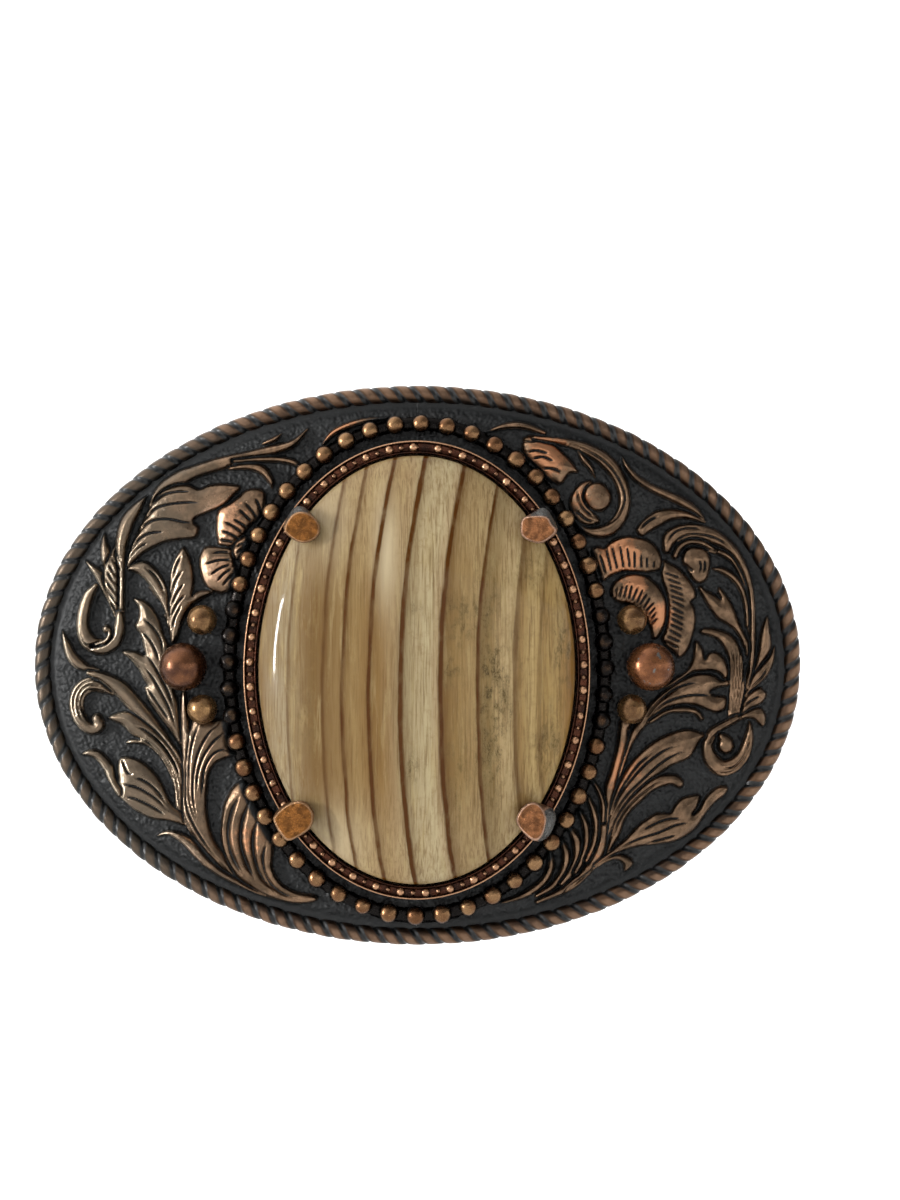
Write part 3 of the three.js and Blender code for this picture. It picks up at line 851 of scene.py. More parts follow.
     [(-19.2, -22.6), (-19.7, -24.4), (-19.5, -26.4), (-18.5, -28.2), (-16.8, -29.4), (-14.6, -29.9)]),
    # shell flower beside the upper beads
    ("leaf",
     [(-19.5, 21.9), (-20.6, 22.5), (-21.9, 22.3), (-22.8, 21.5), (-24, 20.6), (-25.4, 19.8), (-25.8, 18),
      (-25.7, 16.4), (-25.4, 15.2), (-24.4, 15), (-23.6, 15.2), (-22.9, 15.8), (-22, 16.9), (-21.2, 17.9),
      (-20.2, 18.8), (-19.5, 20.2)],
     [(-27.2, 15), (-27.9, 13.6), (-27.8, 12), (-27.3, 10.5), (-26.4, 9.5), (-25.2, 9.1), (-24.1, 9.4),
      (-23.2, 10.3), (-23, 11.8), (-23.4, 13), (-23.3, 14.3), (-24.2, 14.9), (-25.8, 15.1)]),
    ("cut",
     [(-20.7, 21.3), (-20.2, 20.3), (-19.9, 19.2)],
     [(-22, 20.7), (-21, 19.5), (-20.3, 18.4)],
     [(-22.8, 19.9), (-21.9, 19), (-21, 18.1)],
     [(-23.5, 18.6), (-22.5, 18), (-21.5, 17.3)],
     [(-24.7, 18.3), (-23.4, 17.6), (-22.1, 16.7)],
     [(-25, 17.1), (-23.7, 16.6), (-22.7, 15.9)],
     [(-25.2, 15.9), (-24.2, 15.8), (-23.3, 15.6)],
     [(-26.2, 14.2), (-25, 14.4), (-23.7, 14.3)],
     [(-27.2, 12.8), (-25.5, 13.3), (-23.7, 13.4)],
     [(-26.5, 11.4), (-25.2, 12.3), (-23.8, 12.8)],
     [(-25.6, 10.6), (-24.7, 11.6), (-23.6, 12.3)],
     [(-24.9, 10), (-24.2, 10.9), (-23.3, 11.7)]),
    ("leaf",
     [(-23.5, 13.9), (-23.6, 14.8), (-23, 15.8), (-22.1, 16.4), (-21.6, 16), (-21.8, 15), (-22.4, 13.9),
      (-23.1, 13.4)]),
    ("cut",
     [(-23.1, 14.2), (-22.6, 14.6), (-22, 14.8)],
     [(-23.1, 15.1), (-22.5, 15.4), (-21.9, 15.4)]),
    # upper fronds between the leaf and the beads
    ("stem",
     [(-24, 25.1, .2), (-21.5, 25.3, .5), (-19.8, 24.8, .6), (-18.7, 23.4, .4), (-18.6, 22.6, .08)],
     [(-23.5, 26, .2), (-20.5, 26.2, .35), (-17.8, 26.2, .4), (-15.8, 25.8, .4), (-14.9, 25, .15)],
     [(-19.8, 28.2, .15), (-18.3, 28.8, .3), (-17.4, 29.5, .08)],
     [(-12.2, 28, .12), (-11, 29.4, .35), (-9.4, 30.3, .4), (-7, 31.1, .35), (-3.8, 31.5, .12)]),
]
RIGHT = [
    # fronds above the large scroll
    ("stem",
     [(8.8, 29.7, .1), (11, 30.4, .4), (13.5, 30.5, .5), (16.2, 29.6, .3)]),
    ("leaf",
     [(13.6, 29), (15.2, 29.2), (17, 28.4), (18.7, 27), (19.8, 25.8), (20.5, 24.6), (19.4, 24.4),
      (18.3, 23.1), (16.6, 23.7), (15.6, 25), (14.2, 26.2), (13.4, 27.4)]),
    ("cut",
     [(11.8, 28.2), (13.6, 28.5), (15.4, 28.4)],
     [(14, 27.1), (15.2, 27.3), (16.8, 26.9)],
     [(14.6, 26.2), (16, 26.5), (17.4, 25.9)],
     [(15.9, 25), (17.2, 25), (18.4, 24.5)]),
    # the large scroll
    ("stem",
     [(15, 29, .3), (19, 28.4, .5), (21.8, 27.5, .75), (24, 26.1, .9), (25.7, 24, .85), (26.5, 21.4, .8),
      (26.1, 19, .8), (24.7, 17.4, .85), (23, 16.9, .7), (21.4, 17.2, .4), (20.2, 18.4, .3)]),
    ("cut",
     [(17.5, 28.5), (20.5, 27.8), (23.3, 26.4), (25.3, 24.4), (26.5, 21.6), (25.9, 19.4), (24.4, 18),
      (22.4, 17.7)]),
    ("stem",
     [(20.6, 27.2, .12), (21.4, 26, .4), (22.2, 25, .3), (22.7, 23.9, .06)]),
    ("leaf",
     [(22.2, 23.5), (20.9, 23.2), (19.9, 22.1), (19.4, 20.8), (19.7, 19.4), (20.4, 18.3), (21.8, 17.8),
      (23.3, 18.2), (23, 18.9), (22.3, 19.6), (21.8, 20.6), (21.7, 21.6), (22, 22.6)]),
    ("cut",
     [(20.4, 22.2), (20.6, 21), (21.3, 19.8), (22.6, 18.8)],
     [(19.9, 19.6), (20.7, 19.2), (21.6, 18.5), (22.6, 18.3)]),
    ("stem",
     [(22.9, 21.6, 1.7), (23.1, 21.3, 1.7)]),
    ("cut",
     [(21.3, 22.3), (21.1, 21.2), (21.9, 19.9)]),
    # S frond and spear
    ("stem",
     [(26.2, 26.6, .08), (26.8, 25.3, .3), (28, 23.9, .45), (29.8, 22.7, .5), (32, 21.7, .55),
      (34, 20.8, .6), (35.6, 19.8, .5), (36.9, 18.4, .12)]),
    ("leaf",
     [(28, 17.1), (28.4, 18), (29.5, 19), (31, 19.8), (33, 19.9), (35, 19.5), (37, 18.2), (35.8, 18.4),
      (34.2, 18.7), (32.5, 18.5), (31, 17.7), (29.6, 16.9), (28.7, 16.4)]),
    ("cut",
     [(28.5, 17.3), (29.5, 18.3), (30.8, 19)]),
    # the long stem and its curl
    ("stem",
     [(37.3, 14.6, .2), (38.8, 14.4, .4), (40.4, 13.5, .4), (41.5, 12, .4), (42.2, 10.2, .4),
      (42.6, 7.5, .35), (42.8, 4, .3)],
     [(37.8, 12.3, .1), (39.2, 12, .42), (40.6, 11.1, .45), (41.6, 9.7, .4), (42.2, 7.8, .35),
      (42.5, 5, .3)],
     [(31.9, 14.7, .5), (32.4, 16.2, .95), (34.2, 16.9, 1.05), (36.5, 16.8, 1.05), (38.8, 16, .85),
      (40.7, 14.5, .6), (42, 12.3, .5), (42.8, 9.8, .42), (43.1, 7, .4), (43.1, 4, .4), (43, 1, .4),
      (42.5, -2, .4), (41.8, -5, .4), (41, -7.2, .3)],
     [(33, 13.9, .4), (33.6, 15, .4), (34.8, 15.7, .4), (36.4, 15.6, .4), (37.6, 15, .3),
      (38.2, 14.6, .12)]),
    ("cut",
     [(31.8, 15.4), (32.9, 16.9), (34.8, 17.5), (36.8, 17.3)],
     [(32.4, 14.6), (33.4, 16), (35, 16.7), (37.3, 16.5), (39.2, 15.7), (40.6, 14.4)]),
    ("leaf",
     [(34, 14), (34.6, 14.9), (35.8, 15.1), (37, 14.7), (37.6, 13.6), (37.5, 12), (37, 10.8), (36, 10.4),
      (35.2, 11), (34.6, 12.2), (34, 13)]),
    ("cut",
     [(36.15, 13.4), (36.3, 12.5), (36.1, 11.8)],
     [(36.75, 13.4), (36.85, 12.5), (36.6, 11.8)],
     [(34.2, 12.9), (34.8, 12.3), (35.4, 11.9)]),
    # leaves on the left of the stem
    ("leaf",
     [(36.1, 10), (36.6, 8.6), (37.5, 7.1), (38.5, 5.9), (39.8, 5.1), (40.8, 4.3), (41.6, 3), (42.4, 1),
      (42.7, 2.4), (42.2, 3.6), (41.4, 5.2), (40.8, 6.8), (40.2, 8.1), (39.4, 9.2), (38.7, 9.9),
      (38.6, 9.3), (38.9, 8.4), (38.2, 8.9), (37.2, 9.4)],
     [(36.2, 4.3), (36.9, 4.7), (38.5, 4.5), (39.9, 4), (40.9, 3.1), (41.6, 1.5), (42, -1), (41.9, -4),
      (41.2, -7.3), (39.9, -7.3), (40.1, -3), (40.1, 0), (39.6, 1.6), (38.7, 3), (37.6, 3.6), (36.5, 3.9)]),
    # leaves on the right of the stem
    ("leaf",
     [(45.1, 6.2), (44.5, 5.2), (44.1, 3.6), (43.8, 1.5), (43.4, -.3), (43.2, -1.2), (44.2, 0),
      (45.2, 1.4), (45.6, 2.6), (45.4, 4.3)],
     [(46, 2.3), (45.3, 1), (44.2, -.3), (43.1, -1.4), (42.6, -2.8), (42.3, -3.8), (43.5, -2.9),
      (44.7, -1.9), (45.6, -.5), (46, .8)]),
    ("cut",
     [(42.7, -3.2), (44.2, -1.7), (45.1, -.3)]),
    ("leaf",
     [(42.2, -4.3), (43.2, -3.4), (44.1, -3), (44.8, -3.5), (44.9, -4.2), (44.3, -5), (43.2, -5.6),
      (41.8, -6.7), (41.6, -5.9)]),
    ("cut",
     [(41.9, -5.4), (43, -4.6), (44.2, -4)]),
    ("leaf",
     [(41, -7), (42.3, -6.1), (43.5, -5.6), (44.4, -5.8), (44.9, -6.8), (44.8, -7.8), (44.4, -8.1),
      (43.8, -7.6), (43, -7), (42, -7), (41.2, -7.3)]),
    # grooves of the gathered stems
    ("cut",
     [(40.1, -6.8), (40.4, -3), (40.5, 0), (40.2, 2.4)],
     [(40.4, -6.8), (40.8, -3), (41, 0), (40.8, 2.6)],
     [(40.7, -6.8), (41.2, -3), (41.45, 0), (41.4, 1.8)],
     [(41, -6.9), (41.6, -3.5), (41.95, 0), (42.1, 3.2)],
     [(41.3, -6.9), (42.1, -3.5), (42.55, -.5), (42.6, 3)]),
    # ring scroll
    ("stem",
     [(41, -6.9, .45), (39.9, -7.5, .5), (38.6, -8.2, .55), (37.7, -9, .7), (37.2, -10.5, .75),
      (37.7, -12.2, 1), (39, -13.3, 1.05), (40.5, -13, .95), (41.7, -11.9, .85), (42.4, -10.3, .75),
      (42.7, -8.7, .5), (42.7, -7.5, .15)],
     [(38.8, -9, .3), (39.5, -9.9, .9), (39.6, -10.4, 1.1)]),
    ("cut",
     [(38.6, -8.9), (37.9, -9.3), (37.3, -10.2)],
     [(38.9, -13.3), (40.4, -13.2), (41.6, -12.2), (42.4, -10.6), (42.7, -9)],
     [(38.2, -13.8), (39.5, -14), (41, -13.4), (42.2, -12), (42.9, -10.2)]),
    # leaf cluster beside the large ball
    ("leaf",
     [(35.7, 3), (36.5, 2.2), (36.7, 1.3), (36.9, .7), (37.3, 1.4), (38.2, 1.6), (39.2, 1), (39.8, -.2),
      (39.9, -1.3), (39.5, -1.9), (38.8, -1.2), (37.8, -.8), (36.2, -.9), (35, -1.1), (33.2, -2.4),
      (31.5, -3), (33, -1.8), (34.4, -.9), (35.2, .5), (35.4, 1.9)],
     [(31, -3.9), (33, -2.5), (35, -1.5), (36.5, -1.15), (38, -1.4), (39, -2.1), (39.9, -2), (40, -2.7),
      (39, -2.9), (38, -3.2), (37.6, -3.6), (38.2, -4), (39.5, -4.2), (39.7, -5), (39.4, -5.8),
      (38.5, -6.2), (37.3, -5.9), (35.8, -5.3), (34, -5.3), (32, -5.7), (30.5, -6.6), (28.5, -8.7),
      (27, -11.3), (25.9, -14.5), (25.2, -16.5), (24.9, -15.5), (26, -11.5), (27.5, -8.2), (29.5, -5.4)]),
    ("stem",
     [(29.8, -7.3, .3), (32, -6, .35), (34.2, -5.8, .42), (35.7, -6.1, .4), (36.4, -6.9, .35)]),
    ("cut",
     [(28.5, -8), (30.2, -5.5), (31.6, -4.1), (33, -3.1), (34.6, -2.5), (36.2, -2.3)],
     [(29.6, -6.8), (31.5, -5), (33.5, -4.2), (35.6, -3.9), (37.8, -4)],
     [(31.6, -5.9), (33.6, -5.2), (35.4, -5.1)]),
    # flower of three ribbed petals round the upper ball
    ("leaf",
     [(31.3, 13.3), (32.5, 12.9), (33.7, 12.1), (34.8, 10.9), (35.6, 9.6), (35.7, 8.6), (35.1, 8),
      (35.5, 7.2), (35.7, 5.8), (35.4, 4), (34.9, 2.4), (34.2, 1.3), (33.5, .9), (32.8, 1.5), (32, 2.3),
      (31.3, 3.2), (31.8, 4.5), (32.1, 6.2), (32.1, 8), (31.8, 9.4), (31.3, 10.8), (31.2, 12)],
     [(22.2, 14.5), (22.9, 15.1), (23.8, 14.9), (24.4, 15.4), (25.3, 16), (26.6, 16.4), (27.9, 16.3),
      (29.5, 15.9), (30.7, 14.9), (31.3, 13.4), (31.1, 12.2), (30.2, 11.9), (29, 11.8), (27.5, 11.9),
      (26.2, 11.9), (24.9, 11.4), (23.7, 10.7), (23.4, 11.6), (23, 12.6), (22.6, 13.6)],
     [(24.7, 9), (25, 10.3), (26.1, 11.2), (27.5, 11.6), (28.7, 11.5), (29.9, 10.9), (31, 9.8),
      (31.8, 8.3), (31.9, 6.8), (31.7, 5.3), (31.1, 4), (30.2, 3.2), (29.7, 4.9), (29.1, 6.1), (28.2, 7),
      (27, 7.7), (25.7, 8)]),
    # lower trunk with its tines
    ("stem",
     [(26.5, -7.6, .8), (26, -10.5, .65), (25.3, -13.2, .6), (24.5, -16, .75), (24, -19, .8),
      (23.7, -22, .8), (22.8, -24.6, .7), (21.2, -26.8, .6), (19, -28.6, .5), (15.3, -30.3, .3)],
     [(22.2, -14.6, .15), (23.1, -16, .3), (23.7, -17.8, .35), (23.7, -20, .3)]),
    ("cut",
     [(23.4, -14), (23.8, -15.5), (23.9, -17.2)],
     [(26.9, -7.9), (26.8, -9.2)]),
    ("leaf",
     [(24.3, -23.5), (24.4, -20.5), (24.8, -17.7), (25.8, -15), (27.3, -12.6), (29, -10.8), (31, -9.4),
      (33, -8.6), (34.8, -8.3), (36, -8.6), (36.9, -9.1), (36.3, -9.8), (35.6, -11), (34.8, -12),
      (33.5, -12.6), (32.3, -13.1), (31, -14), (29.5, -15.2), (27.8, -16.8), (26.2, -18.8), (25.2, -21.3),
      (24.7, -23.5)]),
    ("cut",
     [(33.3, -10.3), (31.5, -11), (29.3, -12.6), (27.3, -14.7), (25.6, -17), (24.5, -20)],
     [(34.9, -10.9), (33, -11.5), (31, -12.7), (28.8, -14.7), (26.5, -17), (25, -19.6), (24.4, -22.2)],
     [(30.2, -11.1), (28.2, -12.8), (26.6, -15), (25.3, -17.3)]),
    ("leaf",
     [(30.5, -14.4), (32, -14.1), (33.3, -14.2), (34.1, -15), (34, -15.7), (33.3, -15.8), (32.5, -15.4),
      (31.2, -15.7), (30, -16.3), (28.8, -17.4), (27.5, -18.6), (26.5, -20), (26, -21.5), (25, -23.2),
      (24.2, -24.5), (24.4, -22.8), (25.3, -20), (26.7, -17.8), (28.5, -15.8)]),
    ("cut",
     [(32.3, -14.8), (30.8, -15.1), (29, -16.3), (27.2, -17.9), (25.9, -19.7), (24.8, -22.3)]),
    # lower leaves
    ("leaf",
     [(22.5, -25.6), (24.5, -24), (26.5, -22.4), (28.2, -20.6), (29.3, -19.8), (30.5, -19.1), (31.8, -19),
      (32.4, -19), (33, -18), (33.8, -17.2), (35, -16.8), (36.2, -16.8), (36, -18.2), (35.4, -19.2),
      (36.2, -18.5), (36.8, -17.3), (37.8, -16.2), (39, -15.6), (39.9, -15.9), (39.5, -16.8),
      (38.3, -17.7), (37, -19.2), (35.8, -21), (34.5, -22), (33, -22.7), (31, -23), (29, -23.2),
      (27, -23.6), (25, -24.4), (23.2, -25.7)]),
    ("cut",
     [(36.15, -17.4), (35.9, -18.5), (35.1, -19.4)],
     [(33.9, -19.7), (32, -19.8), (30.3, -20.4), (28.6, -21.3)],
     [(35.1, -20.2), (33, -20.6), (30.8, -21.5), (28, -22.4), (25.3, -23.8)],
     [(33.3, -21.8), (31.2, -22.4), (29.4, -22.9)]),
    ("leaf",
     [(19.5, -28.3), (22, -26.5), (24, -25), (25.5, -24.3), (26.7, -24.5), (27.5, -25), (27.6, -25.7),
      (26.7, -26.5), (26.4, -26.2), (26.4, -25.6), (25.6, -25), (24.5, -25.1), (23, -25.9), (21, -27.3),
      (19, -29)]),
    # fan of fronds beside the lower beads
    ("stem",
     [(16.9, -23.8, .25), (17, -25.8, .5), (15.9, -27.8, .5), (13.6, -29.4, .45), (10.8, -30.4, .15)],
     [(18.4, -22.4, .25), (19, -24.2, .55), (18.7, -26.2, .5), (17.3, -28.2, .45), (15.2, -29.5, .3)],
     [(19.4, -20.8, .3), (20.3, -22.4, .6), (20.4, -24.4, .55), (19.7, -26.3, .5), (18.4, -28, .35)],
     [(20.7, -18.7, .25), (21.4, -20.3, .45), (21.6, -22.3, .45), (21.2, -24.5, .45), (20.2, -26.5, .35)],
     [(21.8, -17, .25), (22.5, -18.8, .42), (22.8, -20.8, .42), (22.5, -22.9, .42), (21.6, -25, .35)]),
]
# Ribs fan out across a petal, from the curve of its inner edge to the curve near its outer edge.
RIBS = [
    (9, [(23.9, 11.1), (25.2, 11.7), (26.6, 12), (28.4, 12.1), (30.6, 12.3)],
        [(22.8, 14.1), (24.2, 15.2), (26.2, 15.4), (28.1, 14.4), (30.8, 13)]),
    (13, [(31.4, 12), (31.9, 10.6), (32.2, 9), (32.3, 7), (32.1, 5), (31.7, 3.3), (31.9, 2.4)],
         [(33.6, 11.3), (34.1, 9.8), (34.3, 8.2), (34.3, 6.4), (34.1, 4.4), (33.7, 2.7), (33.3, 1.7)]),
    (12, [(25, 8.5), (26.9, 8.1), (28.4, 7.3), (29.4, 6.2), (29.9, 4.8)],
         [(25.2, 9.9), (27, 10.4), (28.8, 9.7), (30.3, 8), (30.9, 5.6)]),
]


# ---------------------------------------------------------------- materials

BLACK = (0.003, 0.0033, 0.0034)
BROWN = (0.066, 0.043, 0.027)
COPPER = (0.148, 0.092, 0.056)
BRIGHT_COPPER = (0.28, 0.130, 0.066)
SOLDER = (0.12, 0.12, 0.115)


def antique_copper():
    """The carved face: black oxide low down, brown copper on the leaves, bright copper where rubbed, and a
    painted pale highlight on left-facing edges on the left.
    """
    p = Paint("antique_copper")
    copper = p.attribute("copper")
    wear_and_highlight = p.attribute("wear_and_highlight")
    cloud = p.noise(0.35, 3)
    patch = p.noise(1.6, 5)
    fine = p.noise(6.0, 3)
    rubbed = p.math("MULTIPLY_ADD", patch, 0.55, p.math("SUBTRACT", copper, 0.3), clamp=True)
    rubbed = p.spread(rubbed, 0.3, 0.85)
    tone = p.fade(cloud, 0.35, 0.68, BROWN, COPPER)
    tone = p.fade(patch, 0.42, 0.7, tone, toned(BROWN, 0.45), 0.55)
    bronze = p.spread(p.axis("X"), -20.0, -36.0)
    tone = p.mix(p.math("MULTIPLY", bronze, 0.7), tone, (0.080, 0.065, 0.048))
    # The bright share holds both the rubbed copper and the painted highlight on left-facing edges; on the
    # left its colour is a pale painted highlight.
    bright = p.math("MULTIPLY_ADD", fine, 0.25, p.math("MULTIPLY_ADD", patch, 0.55, wear_and_highlight))
    rubbed_and_highlight_colour = p.mix(bronze, BRIGHT_COPPER, (0.48, 0.40, 0.30))
    tone = p.fade(bright, 0.72, 1.0, tone, rubbed_and_highlight_colour)
    dirt = p.fade(p.noise(4.0, 4, 0.7), 0.45, 0.75, BLACK, (0.009, 0.010, 0.0105))
    dirt = p.fade(copper, -0.1, -0.8, dirt, (0.002, 0.002, 0.002))
    colour = p.mix(rubbed, dirt, tone)
    rough = p.spread(patch, 0.2, 0.8, 0.25, 0.4)
    rough = p.math("MULTIPLY_ADD", p.math("SUBTRACT", 1.0, rubbed), 0.18, rough)
    normal = p.bump(fine, 0.04, 0.5)
    normal = p.bump(p.math("MULTIPLY", p.noise(2.2, 4), rubbed), 0.07, 0.6, over=normal)
    return p.finish(colour, rough, rubbed, normal, specular=0.2)


def rope_copper():
    """The rope: brown copper, black down in its twist, and darker on its inner side as painted shade. Its
    mark is 1 on a strand's top and 0 beside it, and lower on the inner side.
    """
    p = Paint("rope_copper")
    top = p.attribute("mark")
    patch = p.noise(0.9, 5)
    tone = p.fade(p.noise(0.14, 3), 0.35, 0.65, (0.032, 0.021, 0.015), (0.070, 0.040, 0.024))
    tone = p.fade(p.math("MULTIPLY_ADD", patch, 0.4, top), 0.95, 1.3, tone, (0.13, 0.08, 0.052))
    tone = p.fade(p.axis("X"), -18.0, -34.0, tone, (0.040, 0.034, 0.027), 0.8)
    clean = p.spread(p.math("MULTIPLY_ADD", patch, 0.3, top), 0.3, 0.75)
    colour = p.mix(clean, BLACK, tone)
    rough = p.spread(p.noise(3, 4), 0.25, 0.75, 0.28, 0.46)
    normal = p.bump(p.noise(4.0, 4), 0.05, 0.6)
    return p.finish(colour, rough, clean, normal, specular=0.25)


def bead_copper():
    """The large beads: copper on top, black at the sides. Their mark is 1 at the front and 0 at the back,
    and lower on the beads beside the balls, which paints shade on them.
    """
    p = Paint("bead_copper")
    front = p.attribute("mark")
    patch = p.noise(0.8, 5)
    clean = p.spread(p.math("MULTIPLY_ADD", patch, 0.4, front), 0.55, 0.95)
    tone = p.fade(p.noise(0.3, 2), 0.35, 0.65, (0.078, 0.036, 0.016), (0.155, 0.088, 0.042))
    colour = p.mix(clean, (0.006, 0.005, 0.0045), tone)
    rough = p.spread(p.noise(3, 4), 0.25, 0.75, 0.2, 0.36)
    normal = p.bump(p.noise(2.5, 4), 0.07, 0.6)
    return p.finish(colour, rough, 0.95, normal)


def ring_copper():
    """The setting: dark red-brown metal. Its mark is 1 on the wires and beads that are rubbed clean."""
    p = Paint("ring_copper")
    clean = p.math("MULTIPLY_ADD", p.noise(1.2, 4), 0.5, p.math("SUBTRACT", p.attribute("mark"), 0.25))
    colour = p.fade(p.noise(0.8, 5), 0.3, 0.7, (0.012, 0.005, 0.0030), (0.048, 0.015, 0.007))
    colour = p.fade(clean, 0.3, 0.9, colour, (0.27, 0.15, 0.085))
    rough = p.spread(p.noise(2.5, 4), 0.25, 0.75, 0.17, 0.32)
    normal = p.bump(p.noise(3.0, 4), 0.08, 0.6)
    return p.finish(colour, rough, 0.9, normal)


def claw_copper(name, tone, edge):
    """A claw: warm copper with scratches, a rubbed edge, and grey solder where its mark is 2."""
    p = Paint(name)
    mark = p.attribute("mark")
    patch = p.noise(1.1, 5)
    lines = p.noise(2.2, 3, stretch=(0.8, 1.0, 3.0), warp=1.5)
    colour = p.fade(patch, 0.35, 0.65, toned(tone, 0.5), toned(tone, 1.12))
    colour = p.fade(p.math("MULTIPLY_ADD", patch, 0.3, mark), 0.75, 1.25, colour, edge)
    grey = p.math("MULTIPLY_ADD", p.noise(1.6, 4), 0.5, mark)
    colour = p.fade(grey, 1.55, 1.95, colour, p.fade(patch, 0.35, 0.65, (0.10, 0.10, 0.095), SOLDER))
    rough = p.spread(lines, 0.3, 0.7, 0.24, 0.4)
    normal = p.bump(lines, 0.3, 0.6)
    normal = p.bump(p.noise(1.3, 3), 0.35, 0.5, over=normal)
    return p.finish(colour, rough, 0.95, normal)


def ball_copper(name, dark, light, spotted):
    """A polished ball, with grey spots where its plating has gone. Its mark rises to 1 towards the plate."""
    p = Paint(name)
    colour = p.fade(p.noise(0.45, 4), 0.32, 0.68, dark, light)
    if spotted:
        colour = p.fade(p.noise(0.8, 4), 0.62, 0.65, colour, (0.085, 0.08, 0.074))
    colour = p.fade(p.attribute("mark"), 0.1, 0.75, colour, (0.008, 0.007, 0.006))
    rough = p.spread(p.noise(2.0, 4), 0.3, 0.7, 0.2, 0.32)
    normal = p.bump(p.noise(1.2, 4), 0.05, 0.45)
    return p.finish(colour, rough, 0.8, normal)


STONE_CURVE = 0.0036   # how far the dark lines bow to the left
STONE_TURN = -3.8      # the height where they are furthest left
STONE_SPAN = 21.0      # half the width that the colour ramps cover
# Dark lines of the stone: x where they bow furthest left, half width and darkness
STONE_LINES = [
    (-16.0, 0.15, 0.55), (-11.75, 0.2, 0.7), (-9.25, 0.22, 0.9), (-5.95, 0.24, 0.95), (-2.1, 0.28, 1.0),
    (2.9, 0.27, 1.0), (7.5, 0.2, 0.95), (12.15, 0.26, 0.6), (15.15, 0.2, 0.5),
]
# Ground colour of the stone from left to right
STONE_GROUND = [
    (-20.0, (0.095, 0.062, 0.031)), (-16.4, (0.156, 0.124, 0.074)), (-15.4, (0.132, 0.097, 0.050)),
    (-14.4, (0.103, 0.067, 0.031)), (-12.9, (0.082, 0.048, 0.016)), (-10.5, (0.107, 0.066, 0.025)),
    (-7.6, (0.138, 0.089, 0.034)), (-6.6, (0.119, 0.070, 0.024)), (-4.7, (0.117, 0.067, 0.021)),
    (-3.2, (0.143, 0.093, 0.043)), (-1.7, (0.161, 0.128, 0.068)), (0.1, (0.206, 0.164, 0.092)),
    (1.3, (0.234, 0.192, 0.109)), (2.5, (0.187, 0.135, 0.074)), (3.4, (0.099, 0.057, 0.018)),
    (5.0, (0.139, 0.088, 0.032)), (6.9, (0.171, 0.115, 0.049)), (8.2, (0.117, 0.079, 0.031)),
    (9.1, (0.125, 0.082, 0.031)), (10.1, (0.224, 0.160, 0.077)), (11.5, (0.246, 0.182, 0.091)),
    (12.7, (0.177, 0.112, 0.041)), (14.2, (0.264, 0.189, 0.081)), (15.6, (0.207, 0.133, 0.046)),
    (17.1, (0.237, 0.160, 0.061)), (18.6, (0.180, 0.102, 0.031)), (20.0, (0.090, 0.038, 0.009)),
]
# Where the stone is speckled: x, z, how far it spreads each way, and how strongly
STONE_SPOTS = [
    (5.0, 6.2, 1.2, 2.2, 1.0), (4.4, -0.5, 0.9, 1.6, 0.7), (8.6, 8.0, 1.1, 3.0, 0.9),
    (9.3, -1.0, 1.0, 3.6, 1.1), (9.2, -9.5, 1.3, 4.5, 1.1), (11.2, -5.0, 0.6, 2.5, 0.5),
    (18.2, 2.5, 0.8, 3.0, 1.0), (16.5, -10.0, 1.4, 3.0, 0.8), (4.8, -14.0, 1.0, 4.0, 0.6),
    (-0.4, 7.0, 0.8, 0.8, 0.5), (-0.5, -12.5, 0.5, 1.2, 0.9), (14.0, 12.0, 2.0, 2.0, 0.5),
    (12.5, 1.0, 0.8, 4.0, 0.35), (-13.5, -6.0, 1.2, 4.0, 0.3),
]
# Where it is paler, in the same terms. The two upper patches are a painted soft reflection on the dome; the
# lower one is just paler.
STONE_PALE_AND_REFLECTION = [(-3.8, 14.5, 1.0, 5.0, 0.9), (-10.6, 18.0, 1.6, 4.0, 0.35), (-10.0, -22.0, 2.5, 3.0, 0.5)]


def across_stone(at):
    """A place across the stone as a share of the ramps' length."""
    return 0.5 + 0.5 * at / STONE_SPAN


def line_stops(lines):
    """Ramp stops for dark lines: each is sharp on its left and fades out on its right."""
    stops = [(0.0, (0, 0, 0))]
    for at, half, dark in lines:
        for widths, share in ((-1.35, 0.0), (-0.7, 1.0), (0.8, 1.0), (1.6, 0.3), (5.0, 0.0)):
            stops.append((across_stone(at + half * widths), (dark * share,) * 3))
    return stops


